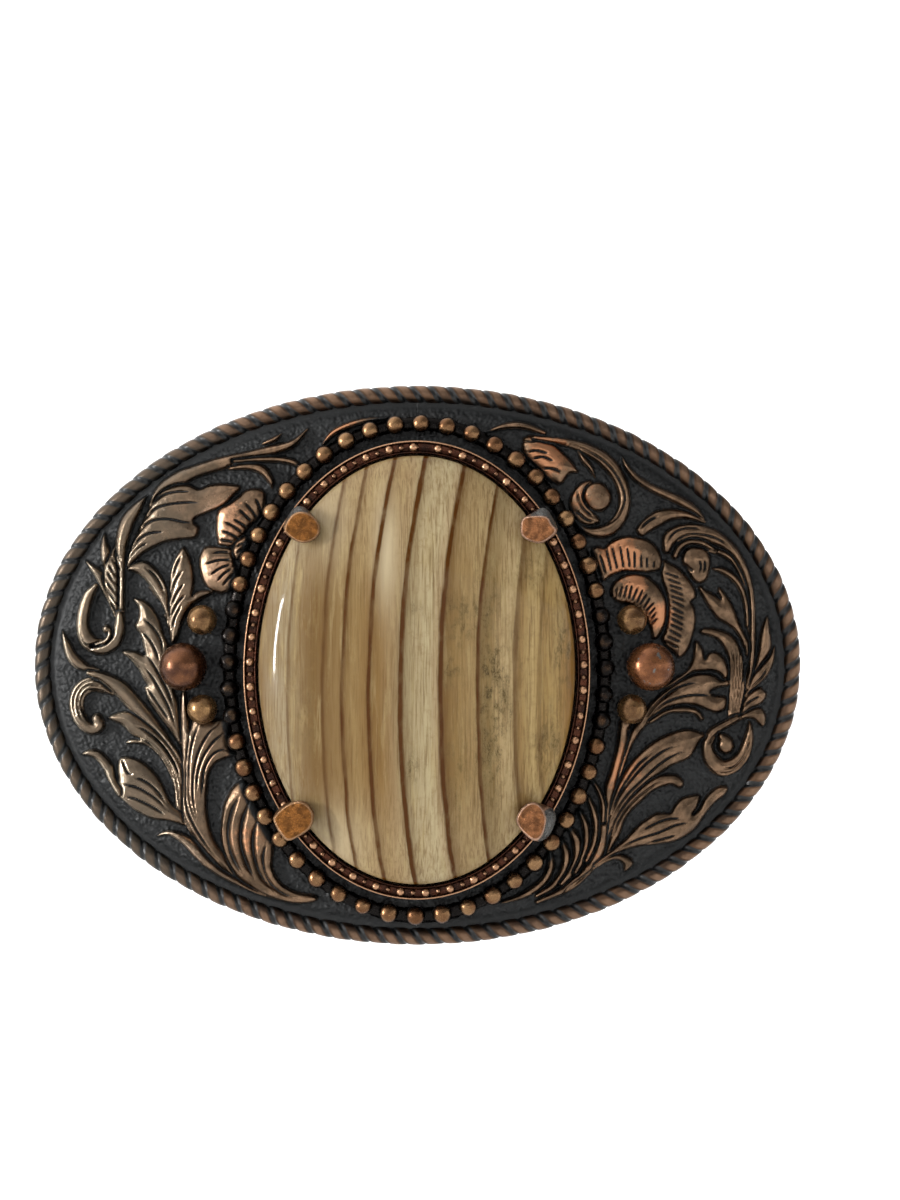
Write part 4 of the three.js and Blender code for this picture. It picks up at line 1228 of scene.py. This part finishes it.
def banded_stone():
    """Polished stone: cream bands between dark lines that bow a little, with fine streaks and specks.
    Its mark is above 0 where it is speckled and stained, and below 0 where it is paler, which on its upper
    part is a painted reflection."""
    p = Paint("banded_stone")
    height = p.axis("Z")
    rise = p.math("ADD", height, -STONE_TURN)
    bow = p.math("MULTIPLY", p.math("MULTIPLY", rise, rise), STONE_CURVE)
    sway = p.math("MULTIPLY", p.math("SUBTRACT", p.noise(0.11, 2, stretch=(1.2, 1, 0.6)), 0.5), 0.7)
    shiver = p.math("MULTIPLY", p.math("SUBTRACT", p.noise(0.9, 4, stretch=(1.0, 1, 0.4)), 0.5), 0.22)
    across = p.math("ADD", p.math("SUBTRACT", p.axis("X"), bow), p.math("ADD", sway, shiver))
    share = p.math("MULTIPLY_ADD", across, 0.5 / STONE_SPAN, 0.5)
    colour = p.ramp(share, [(across_stone(at), tone) for at, tone in STONE_GROUND])
    upper_end = p.spread(height, 6.0, 19.0, 0.0, 0.27)
    lower_end = p.spread(height, -12.0, -24.0, 0.0, 0.3)
    colour = p.mix(p.math("ADD", upper_end, lower_end), colour, (0.29, 0.23, 0.135))
    streak = p.noise(1.0, 6, 0.7, stretch=(3.4, 1.0, 0.16), warp=0.5)
    colour = p.fade(streak, 0.42, 0.68, colour, (0.085, 0.046, 0.014), 0.6)
    pale = p.noise(0.6, 5, 0.65, stretch=(1.6, 1.0, 0.2), warp=0.5)
    colour = p.fade(pale, 0.5, 0.72, colour, (0.22, 0.17, 0.08), 0.45)
    hair = p.noise(1.0, 4, 0.6, stretch=(4.5, 1.0, 0.09), warp=0.4)
    colour = p.fade(hair, 0.54, 0.64, colour, (0.070, 0.036, 0.012), 0.5)
    colour = p.fade(p.noise(0.9, 5, 0.7), 0.5, 0.72, colour, (0.11, 0.068, 0.026), 0.4)
    where = p.attribute("mark")
    # Below 0 the mark makes the stone paler; on the upper part this is a painted soft reflection.
    colour = p.mix(p.math("MULTIPLY", where, -0.85, clamp=True), colour, (0.30, 0.25, 0.16))
    stain = p.math("MULTIPLY", where, p.spread(p.noise(0.7, 5, 0.7, stretch=(1.3, 1.0, 0.6)), 0.36, 0.62))
    colour = p.mix(p.math("MULTIPLY", stain, 0.55, clamp=True), colour, (0.085, 0.060, 0.024))
    speck = p.spread(p.noise(1.6, 6, 0.85, stretch=(1.2, 1.0, 0.6), warp=0.4), 0.47, 0.58)
    colour = p.mix(p.math("MULTIPLY", speck, stain, clamp=True), colour, (0.036, 0.024, 0.008))
    left_lines = p.ramp(share, line_stops(STONE_LINES[:5]))
    right_lines = p.ramp(share, line_stops(STONE_LINES[5:]))
    lines = p.math("ADD", left_lines, right_lines)
    uneven = p.spread(p.noise(0.5, 4, stretch=(1, 1, 0.5)), 0.3, 0.6, 0.8, 1.1)
    colour = p.mix(p.math("MULTIPLY", lines, uneven, clamp=True), colour, (0.038, 0.0125, 0.0012))
    rough = p.spread(p.noise(1.5, 4), 0.3, 0.7, 0.05, 0.09)
    normal = p.bump(p.noise(0.6, 4), 0.03, 0.3)
    p.shader.inputs["IOR"].default_value = 1.54
    return p.finish(colour, rough, 0.0, normal, specular=0.04, coat=0.08)


def cast_back(name, dark, light, bump_depth=0.12, low=0.3, high=0.5):
    """A cast surface, for the metal of the back and the stone's bed: mottled and finely pitted."""
    p = Paint(name)
    fine = p.noise(3.0, 5)
    colour = p.fade(p.noise(0.12, 6, 0.6), 0.25, 0.75, dark, light)
    colour = p.fade(p.noise(0.7, 6, 0.7), 0.5, 0.8, colour, toned(dark, 0.4), 0.7)
    colour = p.fade(fine, 0.5, 0.8, colour, toned(dark, 0.3), 0.6)
    rough = p.spread(fine, 0.3, 0.7, low, high)
    normal = p.bump(p.noise(1.3, 4), bump_depth, 0.6)
    normal = p.bump(p.noise(6.0, 3), 0.03, 0.5, over=normal)
    return p.finish(colour, rough, 0.95, normal)


def bronze_wire():
    """The bail's wire: drawn bronze, with lines along it and small dull patches."""
    p = Paint("bronze_wire")
    drawn = p.noise(3.0, 3, stretch=(1.0, 6.0, 1.0))
    colour = p.fade(p.noise(0.5, 5), 0.35, 0.8, (0.19, 0.122, 0.066), (0.095, 0.058, 0.032))
    rough = p.spread(drawn, 0.3, 0.7, 0.2, 0.36)
    normal = p.bump(drawn, 0.03, 0.5)
    return p.finish(colour, rough, 1.0, normal)


# ---------------------------------------------------------------- pieces

def scrollwork():
    """The carved face, in two halves that overlap a little where they meet."""
    face = carved_face()
    x = face[0]
    paint = antique_copper()
    carved_half("scrollwork_left", face, x < SKIN_SEAM, paint, "face_plate")
    carved_half("scrollwork_right", face, x > -SKIN_SEAM, paint)


def plate_body():
    """The plate behind the scrollwork, down to its cast back."""
    rings = 60
    spokes = 240
    thick = 0.6
    inset = 0.1
    turn = turns(spokes)
    share = np.linspace(0.02, 1, rings)
    rows = []
    for s in share:
        x = PLATE_X * s * np.cos(turn)
        z = PLATE_Z * s * np.sin(turn)
        dent = 0.035 * np.sin(x * 0.9 + z * 0.4) * np.sin(z * 1.1 - x * 0.3)
        edge = 0.3 * smooth(0.985, 1.0, s)
        rows.append(np.column_stack([x, bend(x, z) - edge + dent * (1 - s**8), z]))
    for s in share[::-1]:
        x = (PLATE_X - inset) * s * np.cos(turn)
        z = (PLATE_Z - inset) * s * np.sin(turn)
        rows.append(np.column_stack([x, bend(x, z) - thick, z]))
    solid = Solid(np.vstack(rows), capped_faces(2 * rings, spokes))
    back = cast_back("cast_back", (0.060, 0.036, 0.022), (0.105, 0.064, 0.038), 0.2)
    solid.make("plate_body", back, "buckle", "face_plate")


def rope():
    """Two strands twisted together, as one closed surface. The mark is 1 on a strand's top and 0 beside it,
    and lower on the rope's inner side, which paints shade there.
    """
    around = 24
    steps = ROPE_LOBES * 14
    px, pz, nx, nz = round_ellipse(ROPE_X, ROPE_Z, steps)
    along = np.arange(steps)[:, None] / steps
    turn = turns(around)[None, :]
    lobe = np.abs(np.cos(turn - math.pi * ROPE_LOBES * along))
    groove = 1 - smooth(0.0, 0.42, lobe)
    wave = 0.02 * np.sin(along * 190) + 0.015 * np.sin(along * 433)
    radius = ROPE_RADIUS * (1.02 - 0.2 * groove - 0.07 * (1 - lobe) + wave)
    out = radius * np.cos(turn)
    x = px[:, None] + nx[:, None] * out
    z = pz[:, None] + nz[:, None] * out
    y = bend(px, pz)[:, None] + ROPE_MIDDLE - radius * np.sin(turn)
    verts = np.column_stack([x.ravel(), y.ravel(), z.ravel()])
    # The inner side of the rope, next to the field, gets a lower mark and so a darker colour: painted shade.
    inner = 0.35 * (1 - smooth(-0.8, 0.3, np.cos(turn)))
    mark = smooth(0.25, 0.9, lobe) - inner
    solid = Solid(verts, grid_faces(steps, around, wrap_rows=True, wrap_columns=True), mark.ravel())
    solid.make("rope_edge", rope_copper(), "buckle", "rope_border", "rope_border")


def bead_string():
    """The beads round the setting, on a low black strip. Beside the balls they are darker, a painted shade.
    """
    strip = [(-1.1, -1.3), (-0.85, -1.65), (-0.4, -1.98), (0.4, -1.98), (0.85, -1.65), (1.1, -1.3)]
    band, faces = ring_sweep(BEADS_X, BEADS_Z, strip, 260, SETTING_DROP, follow=range(len(strip)))
    solid = Solid(band, faces, -0.5)
    ball = unit_ball(4)
    turn = turns(BEADS)
    uneven = 0.11 + 0.05 * np.cos(turn) - 0.16 * np.sin(turn)
    px, pz, _, _ = round_ellipse(BEADS_X, BEADS_Z, BEADS, SETTING_DROP, start=uneven)
    front = smooth(-0.05, 1.05, -ball[0][:, 1])
    for x, z in zip(px, pz):
        size = BEAD_RADIUS * RNG.uniform(1.0, 1.1)
        # Beads beside the balls get a lower mark and turn darker: painted shade.
        painted_ball_shade = 0.55 * (1 - smooth(7.0, 10.5, abs(z)))
        spot = (x, bend(x, z) + BEAD_MIDDLE, z)
        solid.add(cast_bead(ball, size, spot, 0.022), ball[1], front - painted_ball_shade)
    solid.make("bead_string", bead_copper(), "buckle", "bead_border", "bead_border")


def setting():
    """The setting round the stone: a channel between two wires, with beads and smaller beads along it."""
    profile = [(0.84, RING_FOOT), (0.83, -4.6), (0.79, -4.86), (0.7, -4.94), (0.62, -4.84), (0.56, -4.5),
               (0.3, -4.34), (-0.3, -4.34), (-0.52, -4.5), (-0.58, -4.72), (-0.66, -4.78), (-0.76, -4.66),
               (-0.8, -4.2), (-0.8, RING_FOOT)]
    band, faces = ring_sweep(RING_X, RING_Z, profile, 420, SETTING_DROP, follow=(0, 13))
    rubbed = {2: 0.9, 3: 1.0, 4: 0.6}
    marks = [rubbed.get(i % len(profile), 0.0) for i in range(len(band))]
    solid = Solid(band, faces, marks)
    ball = unit_ball(3)
    small = unit_ball(2)
    uneven = 0.85 + 0.3 * np.sin(np.arange(RING_BEADS) / RING_BEADS * math.pi)
    px, pz, _, _ = round_ellipse(RING_X, RING_Z, RING_BEADS, SETTING_DROP, start=uneven)
    for x, z in zip(px, pz):
        light = np.clip(smooth(-0.2, 0.8, -ball[0][:, 1]) * RNG.uniform(0.75, 1.15), 0, 1)
        solid.add(cast_bead(ball, RNG.uniform(*RING_BEAD_SIZES), (x, -4.48, z), 0.04), ball[1], light)
    px, pz, _, _ = round_ellipse(RING_X, RING_Z, RING_BEADS, SETTING_DROP, start=uneven + 0.5)
    for x, z in zip(px, pz):
        solid.add(cast_bead(small, RNG.uniform(*RING_SMALL_SIZES), (x, -4.44, z), 0.05), small[1], 0.6)
    solid.make("setting_band", ring_copper(), "buckle", "setting_ring", "setting_ring")


def stone_marks(x, z):
    """The stone's mark: above 0 where it is speckled, below 0 where it is paler; the upper pale patches are
    a painted reflection.
    """
    marks = np.zeros(len(x))
    for sign, spots in ((1, STONE_SPOTS), (-1, STONE_PALE_AND_REFLECTION)):
        for spot_x, spot_z, reach_x, reach_z, strength in spots:
            away = ((x - spot_x) / reach_x) ** 2 + ((z - spot_z) / reach_z) ** 2
            marks += sign * strength * np.exp(-0.5 * away)
    return marks


def stone():
    """The cabochon: a low polished dome with a rounded shoulder."""
    spokes = 256
    rows = []
    for share in np.sin(np.linspace(0.012, 0.5, 72) * math.pi):
        rise = STONE_RISE * (1 - share**2.6) ** 0.62
        rows.append((share, STONE_SHOULDER - rise))
    rows += [(0.9985, STONE_SHOULDER + 0.35), (0.996, -3.6), (0.99, STONE_BACK - 0.05)]
    rows += [(0.975, STONE_BACK), (0.5, STONE_BACK)]
    verts = []
    for share, y in rows:
        for a in turns(spokes):
            verts.append((STONE_X * share * math.cos(a), y, SETTING_DROP + STONE_Z * share * math.sin(a)))
    verts = np.array(verts)
    solid = Solid(verts, capped_faces(len(rows), spokes), stone_marks(verts[:, 0], verts[:, 2]))
    solid.make("cabochon", banded_stone(), "buckle", "stone", "cabochon_stone")


def stone_bed():
    """The dark bed that the stone is stuck to: a low pad with a rounded edge."""
    steps = 200
    profile = [(-0.35, -1.75), (-0.05, -1.9), (0.0, -2.2), (0.0, -2.7), (-0.1, -2.88), (-0.4, -2.95)]
    count = len(profile)
    band, _ = ring_sweep(BED_X, BED_Z, profile, steps, SETTING_DROP, follow=(0, 1))
    faces = grid_faces(steps, count, wrap_rows=True)
    faces.append([i * count for i in range(steps)])
    faces.append([i * count + count - 1 for i in range(steps)][::-1])
    glue = cast_back("bed_cement", (0.04, 0.012, 0.008), (0.07, 0.025, 0.015), 0.25, 0.6, 0.8)
    Solid(band, faces).make("bed_pad", glue, "buckle", "stone_bed", "stone_bed")


# Outlines of the claws as seen from the front: the rubbed top, and the wider foot with the solder on it
CLAW_TOPS = {
    "claw_upper_left": [
        (-17.1, 17.3), (-16.2, 19.1), (-14.9, 19.6), (-13.5, 19.1), (-12.5, 17.7), (-12.9, 16.3),
        (-14.4, 15.6), (-15.9, 16.0),
    ],
    "claw_upper_right": [
        (13.2, 17.4), (13.4, 18.6), (14.3, 19.0), (16.5, 18.95), (17.2, 18.0), (17.8, 16.95),
        (16.0, 15.6), (14.4, 15.8), (13.4, 16.5),
    ],
    "claw_lower_left": [
        (-18.4, -19.5), (-17.1, -18.2), (-15.4, -17.5), (-14.1, -17.9), (-13.3, -19.2), (-13.7, -20.9),
        (-15.3, -22.1), (-16.6, -22.6), (-17.4, -21.9), (-18.3, -20.5),
    ],
    "claw_lower_right": [
        (12.7, -20.3), (13.0, -19.0), (14.0, -17.9), (15.2, -17.7), (16.1, -18.6), (16.5, -20.0),
        (16.0, -21.9), (15.1, -22.6), (13.9, -21.9),
    ],
}
CLAW_FEET = {
    "claw_upper_left": [
        (-17.3, 17.6), (-16.5, 19.4), (-15.8, 20.2), (-14.8, 20.3), (-13.5, 19.2), (-12.9, 17.9),
        (-13.1, 16.7), (-14.5, 16.0), (-16.1, 16.3),
    ],
    "claw_upper_right": [
        (13.6, 17.4), (13.8, 18.8), (14.8, 19.5), (15.9, 20.1), (16.7, 19.9), (17.4, 18.8), (18.0, 17.4),
        (17.2, 16.5), (15.9, 16.0), (14.4, 16.2),
    ],
    "claw_lower_left": [
        (-18.5, -19.5), (-17.3, -18.1), (-15.6, -17.6), (-14.4, -18.1), (-13.8, -19.4), (-14.1, -20.8),
        (-15.4, -22.0), (-16.7, -22.6), (-17.7, -21.9), (-18.4, -20.6),
    ],
    "claw_lower_right": [
        (13.3, -20.2), (13.7, -18.9), (14.9, -17.9), (16.1, -18.0), (17.4, -18.7), (17.8, -19.8),
        (17.4, -21.2), (16.7, -22.3), (15.4, -22.8), (14.1, -21.7),
    ],
}
CLAW_TOP = -9.0
CLAW_BROW = -8.3       # where a claw's side turns into its top


def round_outline(points, spokes, middle):
    """An outline's distance from a middle, in evenly spaced directions."""
    p = np.array(points, float)
    p = np.column_stack(nearer_axis(p[:, 0], p[:, 1], CLAW_SCALE))
    line = spline(p, 0.05, closed=True) - middle
    angle = np.arctan2(line[:, 1], line[:, 0])
    order = np.argsort(angle)
    reach = np.hypot(line[order, 0], line[order, 1])
    return np.interp(turns(spokes, -math.pi), angle[order], reach, period=FULL_TURN)


def claw_levels(top, foot):
    """A claw's rings from its foot to its top: distance from the middle, y, and mark."""
    return [
        (foot * 0.72, -4.3, 0.4), (foot * 0.86, -5.0, 0.5), (foot * 0.98, -5.9, 0.6), (foot, -6.6, 0.7),
        ((foot + top) / 2, -7.5, 0.8), (top * 1.015, -8.15, 0.9), (top * 0.985, -8.6, 1.0),
        (top * 0.93, -8.86, 1.1), (top * 0.84, -8.95, 0.5), (top * 0.68, CLAW_TOP + 0.09, 0.15),
        (top * 0.45, CLAW_TOP + 0.05, 0.0), (top * 0.2, CLAW_TOP + 0.03, 0.0),
    ]


def claw(name, paint):
    """One cast claw. Its mark is 0 on top, 1 at the rubbed edge and 2 on the solder at its foot."""
    spokes = 96
    middle = np.array(nearer_axis(*np.mean(CLAW_TOPS[name], axis=0), CLAW_SCALE))
    top = round_outline(CLAW_TOPS[name], spokes, middle)
    foot = round_outline(CLAW_FEET[name], spokes, middle)
    turn = turns(spokes, -math.pi)
    outward = math.atan2(middle[1] / RING_Z, middle[0] / RING_X)
    solder = smooth(0.0, 0.4, np.cos(turn - outward)) * smooth(0.15, 0.5, foot - top)
    levels = claw_levels(top, foot)
    verts = []
    marks = []
    push = RNG.normal(size=4)
    for radius, y, mark in levels:
        x = middle[0] + radius * np.cos(turn)
        z = middle[1] + radius * np.sin(turn)
        dent = 0.06 * np.sin(x * 2.1 + push[0]) * np.sin(z * 1.9 + push[1])
        dent += 0.03 * np.sin(x * 5.3 + push[2]) * np.sin(z * 4.7 + push[3])
        verts.append(np.column_stack([x, y + dent, z]))
        on_side = y > CLAW_BROW and mark < 1
        marks.append(np.clip(mark + solder * 1.6, 0, 2) if on_side else np.full(spokes, mark))
    solid = Solid(np.vstack(verts), capped_faces(len(levels), spokes), np.concatenate(marks))
    solid.make(name + "_head", paint, "buckle", "claws", name)


def claws():
    """Four claws, curled over the stone's edge: browner on the left and pinker on the right."""
    left = claw_copper("claw_brown", (0.138, 0.054, 0.013), (0.25, 0.142, 0.073))
    right = claw_copper("claw_pink", (0.155, 0.064, 0.026), (0.34, 0.21, 0.145))
    for name in CLAW_TOPS:
        claw(name, left if "left" in name else right)


def ball_stud(x, z, radius):
    """A ball on a waisted stem through the plate, with its hammered tail on the back."""
    at_plate = bend(x, z)
    middle = at_plate + PLATE_FRONT - 0.8 * radius
    stem = min(1.0, radius * 0.55)
    seat = at_plate + PLATE_FRONT
    profile = [(0.0, middle - radius)] + arc(radius, middle, 5, 150, 34)
    profile += [(stem * 1.15, seat - 0.1), (stem, seat + 0.2), (stem, at_plate + 0.2)]
    profile += [(1.55, at_plate + 0.3), (1.7, at_plate + 0.5), (1.6, at_plate + 0.8), (1.1, at_plate + 0.98)]
    profile += [(0.0, at_plate + 1.0)]
    verts, faces = lathe(profile, 64)
    behind = np.clip((verts[:, 1] - middle) / radius, 0, 1)
    marks = np.where(verts[:, 1] < at_plate, behind, 0.0)
    return verts + np.array([x, 0, z]), faces, marks


def balls():
    """Two large balls and four small ones, each slightly uneven."""
    brown = ball_copper("ball_brown", (0.031, 0.0105, 0.0045), (0.095, 0.037, 0.015), False)
    bright = ball_copper("ball_bright", (0.060, 0.020, 0.007), (0.150, 0.058, 0.022), True)
    brassy = ball_copper("ball_brassy", (0.060, 0.028, 0.010), (0.180, 0.100, 0.040), False)
    studs = [
        ("large_ball_left", LARGE_BALL_RADIUS, brown, "large_ball_left"),
        ("large_ball_right", LARGE_BALL_RADIUS, bright, "large_ball_right"),
    ]
    for place in ("upper_left", "upper_right", "lower_left", "lower_right"):
        studs.append(("small_ball_" + place, SMALL_BALL_RADIUS, brassy, "small_balls"))
    for name, radius, paint, slot in studs:
        verts, faces, marks = ball_stud(*centre_of(name), radius)
        push = RNG.normal(size=3) * 0.8
        verts = verts + 0.012 * np.sin(verts @ push)[:, None]
        Solid(verts, faces, marks).make(name + "_stud", paint, "buckle", slot, name)


def bail():
    """The wire bail that the strap is sewn round: one bent wire whose ends turn in through the lugs."""
    path = [(HINGE_X, z) for z in np.linspace(BAIL_END, BAIL_ARM - BAIL_CORNER, 8)]
    corners = [
        (HINGE_X + BAIL_CORNER, BAIL_ARM - BAIL_CORNER, 180, 90),
        (BAIL_BAR - BAIL_CORNER, BAIL_ARM - BAIL_CORNER, 90, 0),
        (BAIL_BAR - BAIL_CORNER, BAIL_CORNER - BAIL_ARM, 0, -90),
        (HINGE_X + BAIL_CORNER, BAIL_CORNER - BAIL_ARM, -90, -180),
    ]
    for x, z, start, end in corners:
        for a in np.radians(np.linspace(start, end, 14)):
            path.append((x + BAIL_CORNER * math.cos(a), z + BAIL_CORNER * math.sin(a)))
    path += [(HINGE_X, z) for z in np.linspace(BAIL_CORNER - BAIL_ARM, -BAIL_END, 8)][1:]
    points = [(x, HINGE_Y, z) for x, z in path]
    clean = [points[0]]
    for point in points[1:]:
        if math.dist(point, clean[-1]) > 0.05:
            clean.append(point)
    Solid(*tube(clean, BAIL_WIRE, 32)).make("bail_wire", bronze_wire(), "bail", "bail_wire", "belt_bail")


def lugs(paint):
    """Two eyed lugs on the back that the bail's ends turn in."""
    spokes = 72
    ear = 2.6
    half_base = 3.4
    hole = 1.4
    half = 1.3
    edge = 0.25
    lip = 0.12
    for name in ("bail_lug_upper", "bail_lug_lower"):
        z = centre_of(name)[1]
        base = bend(HINGE_X, z) - 0.1 - HINGE_Y
        outline = [(ear * math.cos(a), ear * math.sin(a)) for a in np.linspace(0, math.pi, 40)]
        outline = np.array([(half_base, base)] + outline + [(-half_base, base)])
        rows = []
        for a in turns(spokes):
            r = ray_reach(outline, a)
            section = [(hole + lip, -half), (r - edge, -half), (r, -half + edge), (r, half - edge),
                       (r - edge, half), (hole + lip, half), (hole, half - lip), (hole, -half + lip)]
            for radius, away in section:
                rows.append((HINGE_X + radius * math.cos(a), HINGE_Y + radius * math.sin(a), z + away))
        solid = Solid(rows, grid_faces(spokes, len(section), wrap_rows=True, wrap_columns=True))
        solid.make(name + "_ear", paint, "buckle", "back_fittings", name)


def ray_reach(polygon, angle):
    """How far a ray from the origin goes before it leaves a convex outline."""
    d = np.array([math.cos(angle), math.sin(angle)])
    best = 0.0
    for p, q in zip(polygon, np.roll(polygon, -1, axis=0)):
        edge = q - p
        cross = d[0] * edge[1] - d[1] * edge[0]
        if abs(cross) < 1e-9:
            continue
        t = (p[0] * edge[1] - p[1] * edge[0]) / cross
        u = (p[0] * d[1] - p[1] * d[0]) / cross
        if t > 0 and -1e-6 <= u <= 1 + 1e-6:
            best = max(best, t)
    return best


def hook(paint):
    """The hook for the strap's holes: a waisted stud with a domed head, on a round pad."""
    at = (HOOK_X, bend(HOOK_X, 0), 0)
    pad = [(0.0, -0.2), (3.9, -0.2), (4.2, 0.3), (4.2, 1.0), (4.05, 1.28), (3.7, 1.4), (2.0, 1.46),
           (0.0, 1.46)]
    Solid(*lathe(pad, 96, at, HOOK_LEAN)).make("hook_pad", paint, "buckle", "back_fittings", "hook_base")
    stud = [(0.0, 1.3), (2.75, 1.32), (2.6, 1.7), (2.2, 2.2), (1.75, 3.0), (1.5, 4.2), (1.5, 6.2),
            (1.62, 6.9), (2.0, 7.4), (2.28, 7.9), (2.35, 8.5), (2.3, 9.1), (2.1, 9.7), (1.8, 10.02),
            (1.6, 10.1), (0.0, 10.1)]
    Solid(*lathe(stud, 72, at, HOOK_LEAN)).make("hook_stud", paint, "buckle", "back_fittings", "belt_hook")


# ---------------------------------------------------------------- camera, floor and light

def camera():
    data = bpy.data.cameras.new("camera")
    data.lens = CAMERA_LENS
    data.sensor_width = CAMERA_SENSOR
    data.clip_start = 0.01
    data.clip_end = 20.0
    obj = bpy.data.objects.new("camera", data)
    obj.location = (CAMERA_X * MM, -CAMERA_AWAY * MM, CAMERA_Z * MM)
    obj.rotation_euler = (math.radians(90), 0, 0)
    bpy.context.scene.collection.objects.link(obj)
    bpy.context.scene.camera = obj


# The floor, in metres
FLOOR_HEIGHT = -0.075
FLOOR_FLAT = 0.8
FLOOR_CURVE = 0.5


def floor():
    """A pale round floor that curves up into a low wall all round."""
    p = Paint("pale_floor")
    colour = p.mix(p.noise(0.02, 3), (0.90, 0.90, 0.895), (0.93, 0.93, 0.925))
    paint = p.finish(colour, p.spread(p.noise(0.05, 2), 0.3, 0.7, 0.7, 0.8), 0.0)
    profile = [(0.004, 0.0)] + [(FLOOR_FLAT * i / 8, 0.0) for i in range(1, 9)]
    for a in np.radians(np.linspace(5, 75, 15)):
        profile.append((FLOOR_FLAT + FLOOR_CURVE * math.sin(a), FLOOR_CURVE * (1 - math.cos(a))))
    spokes = 96
    verts = []
    for radius, up in profile:
        for a in turns(spokes):
            verts.append((radius * math.cos(a), radius * math.sin(a), FLOOR_HEIGHT + up))
    faces = grid_faces(len(profile), spokes, wrap_columns=True)
    faces.append(list(range(spokes))[::-1])
    obj = new_object("floor", np.array(verts) / MM, faces, paint)


def area_light(name, place, size, power):
    """A white light that faces the buckle. Place and size are in metres, power in watts."""
    data = bpy.data.lights.new(name, "AREA")
    data.shape = "RECTANGLE"
    data.size, data.size_y = size
    data.energy = power
    obj = bpy.data.objects.new(name, data)
    obj.location = place
    obj.rotation_euler = (-Vector(place)).to_track_quat("-Z", "Y").to_euler()
    bpy.context.scene.collection.objects.link(obj)


ROOM_BRIGHT_WAY = (-0.85, 0.25, 0.46)
ROOM_DIM = 0.6
ROOM_BRIGHT = 3.3


def studio():
    """A room that is bright on the upper left and behind, and dimmer elsewhere, with a tall window."""
    world = bpy.data.worlds.new("studio")
    world.use_nodes = True
    tree = world.node_tree
    place = tree.nodes.new("ShaderNodeTexCoord")
    facing = tree.nodes.new("ShaderNodeVectorMath")
    facing.operation = "DOT_PRODUCT"
    facing.inputs[1].default_value = ROOM_BRIGHT_WAY
    level = tree.nodes.new("ShaderNodeMapRange")
    level.interpolation_type = "SMOOTHSTEP"
    level.inputs["From Min"].default_value = -0.15
    level.inputs["From Max"].default_value = 0.85
    level.inputs["To Min"].default_value = ROOM_DIM
    level.inputs["To Max"].default_value = ROOM_BRIGHT
    background = tree.nodes["Background"]
    background.inputs["Color"].default_value = (1.0, 1.0, 1.0, 1)
    tree.links.new(place.outputs["Generated"], facing.inputs[0])
    tree.links.new(facing.outputs["Value"], level.inputs["Value"])
    tree.links.new(level.outputs["Result"], background.inputs["Strength"])
    bpy.context.scene.world = world
    area_light("tall_window", (-0.93, -0.40, 0.09), (0.06, 0.34), 13)
    bpy.context.scene.view_settings.view_transform = "Standard"


scrollwork()
plate_body()
rope()
bead_string()
setting()
stone()
stone_bed()
claws()
balls()
bail()
fittings = cast_back("back_brass", (0.13, 0.078, 0.036), (0.22, 0.14, 0.068), 0.08, 0.24, 0.42)
lugs(fittings)
hook(fittings)
camera()
floor()
studio()
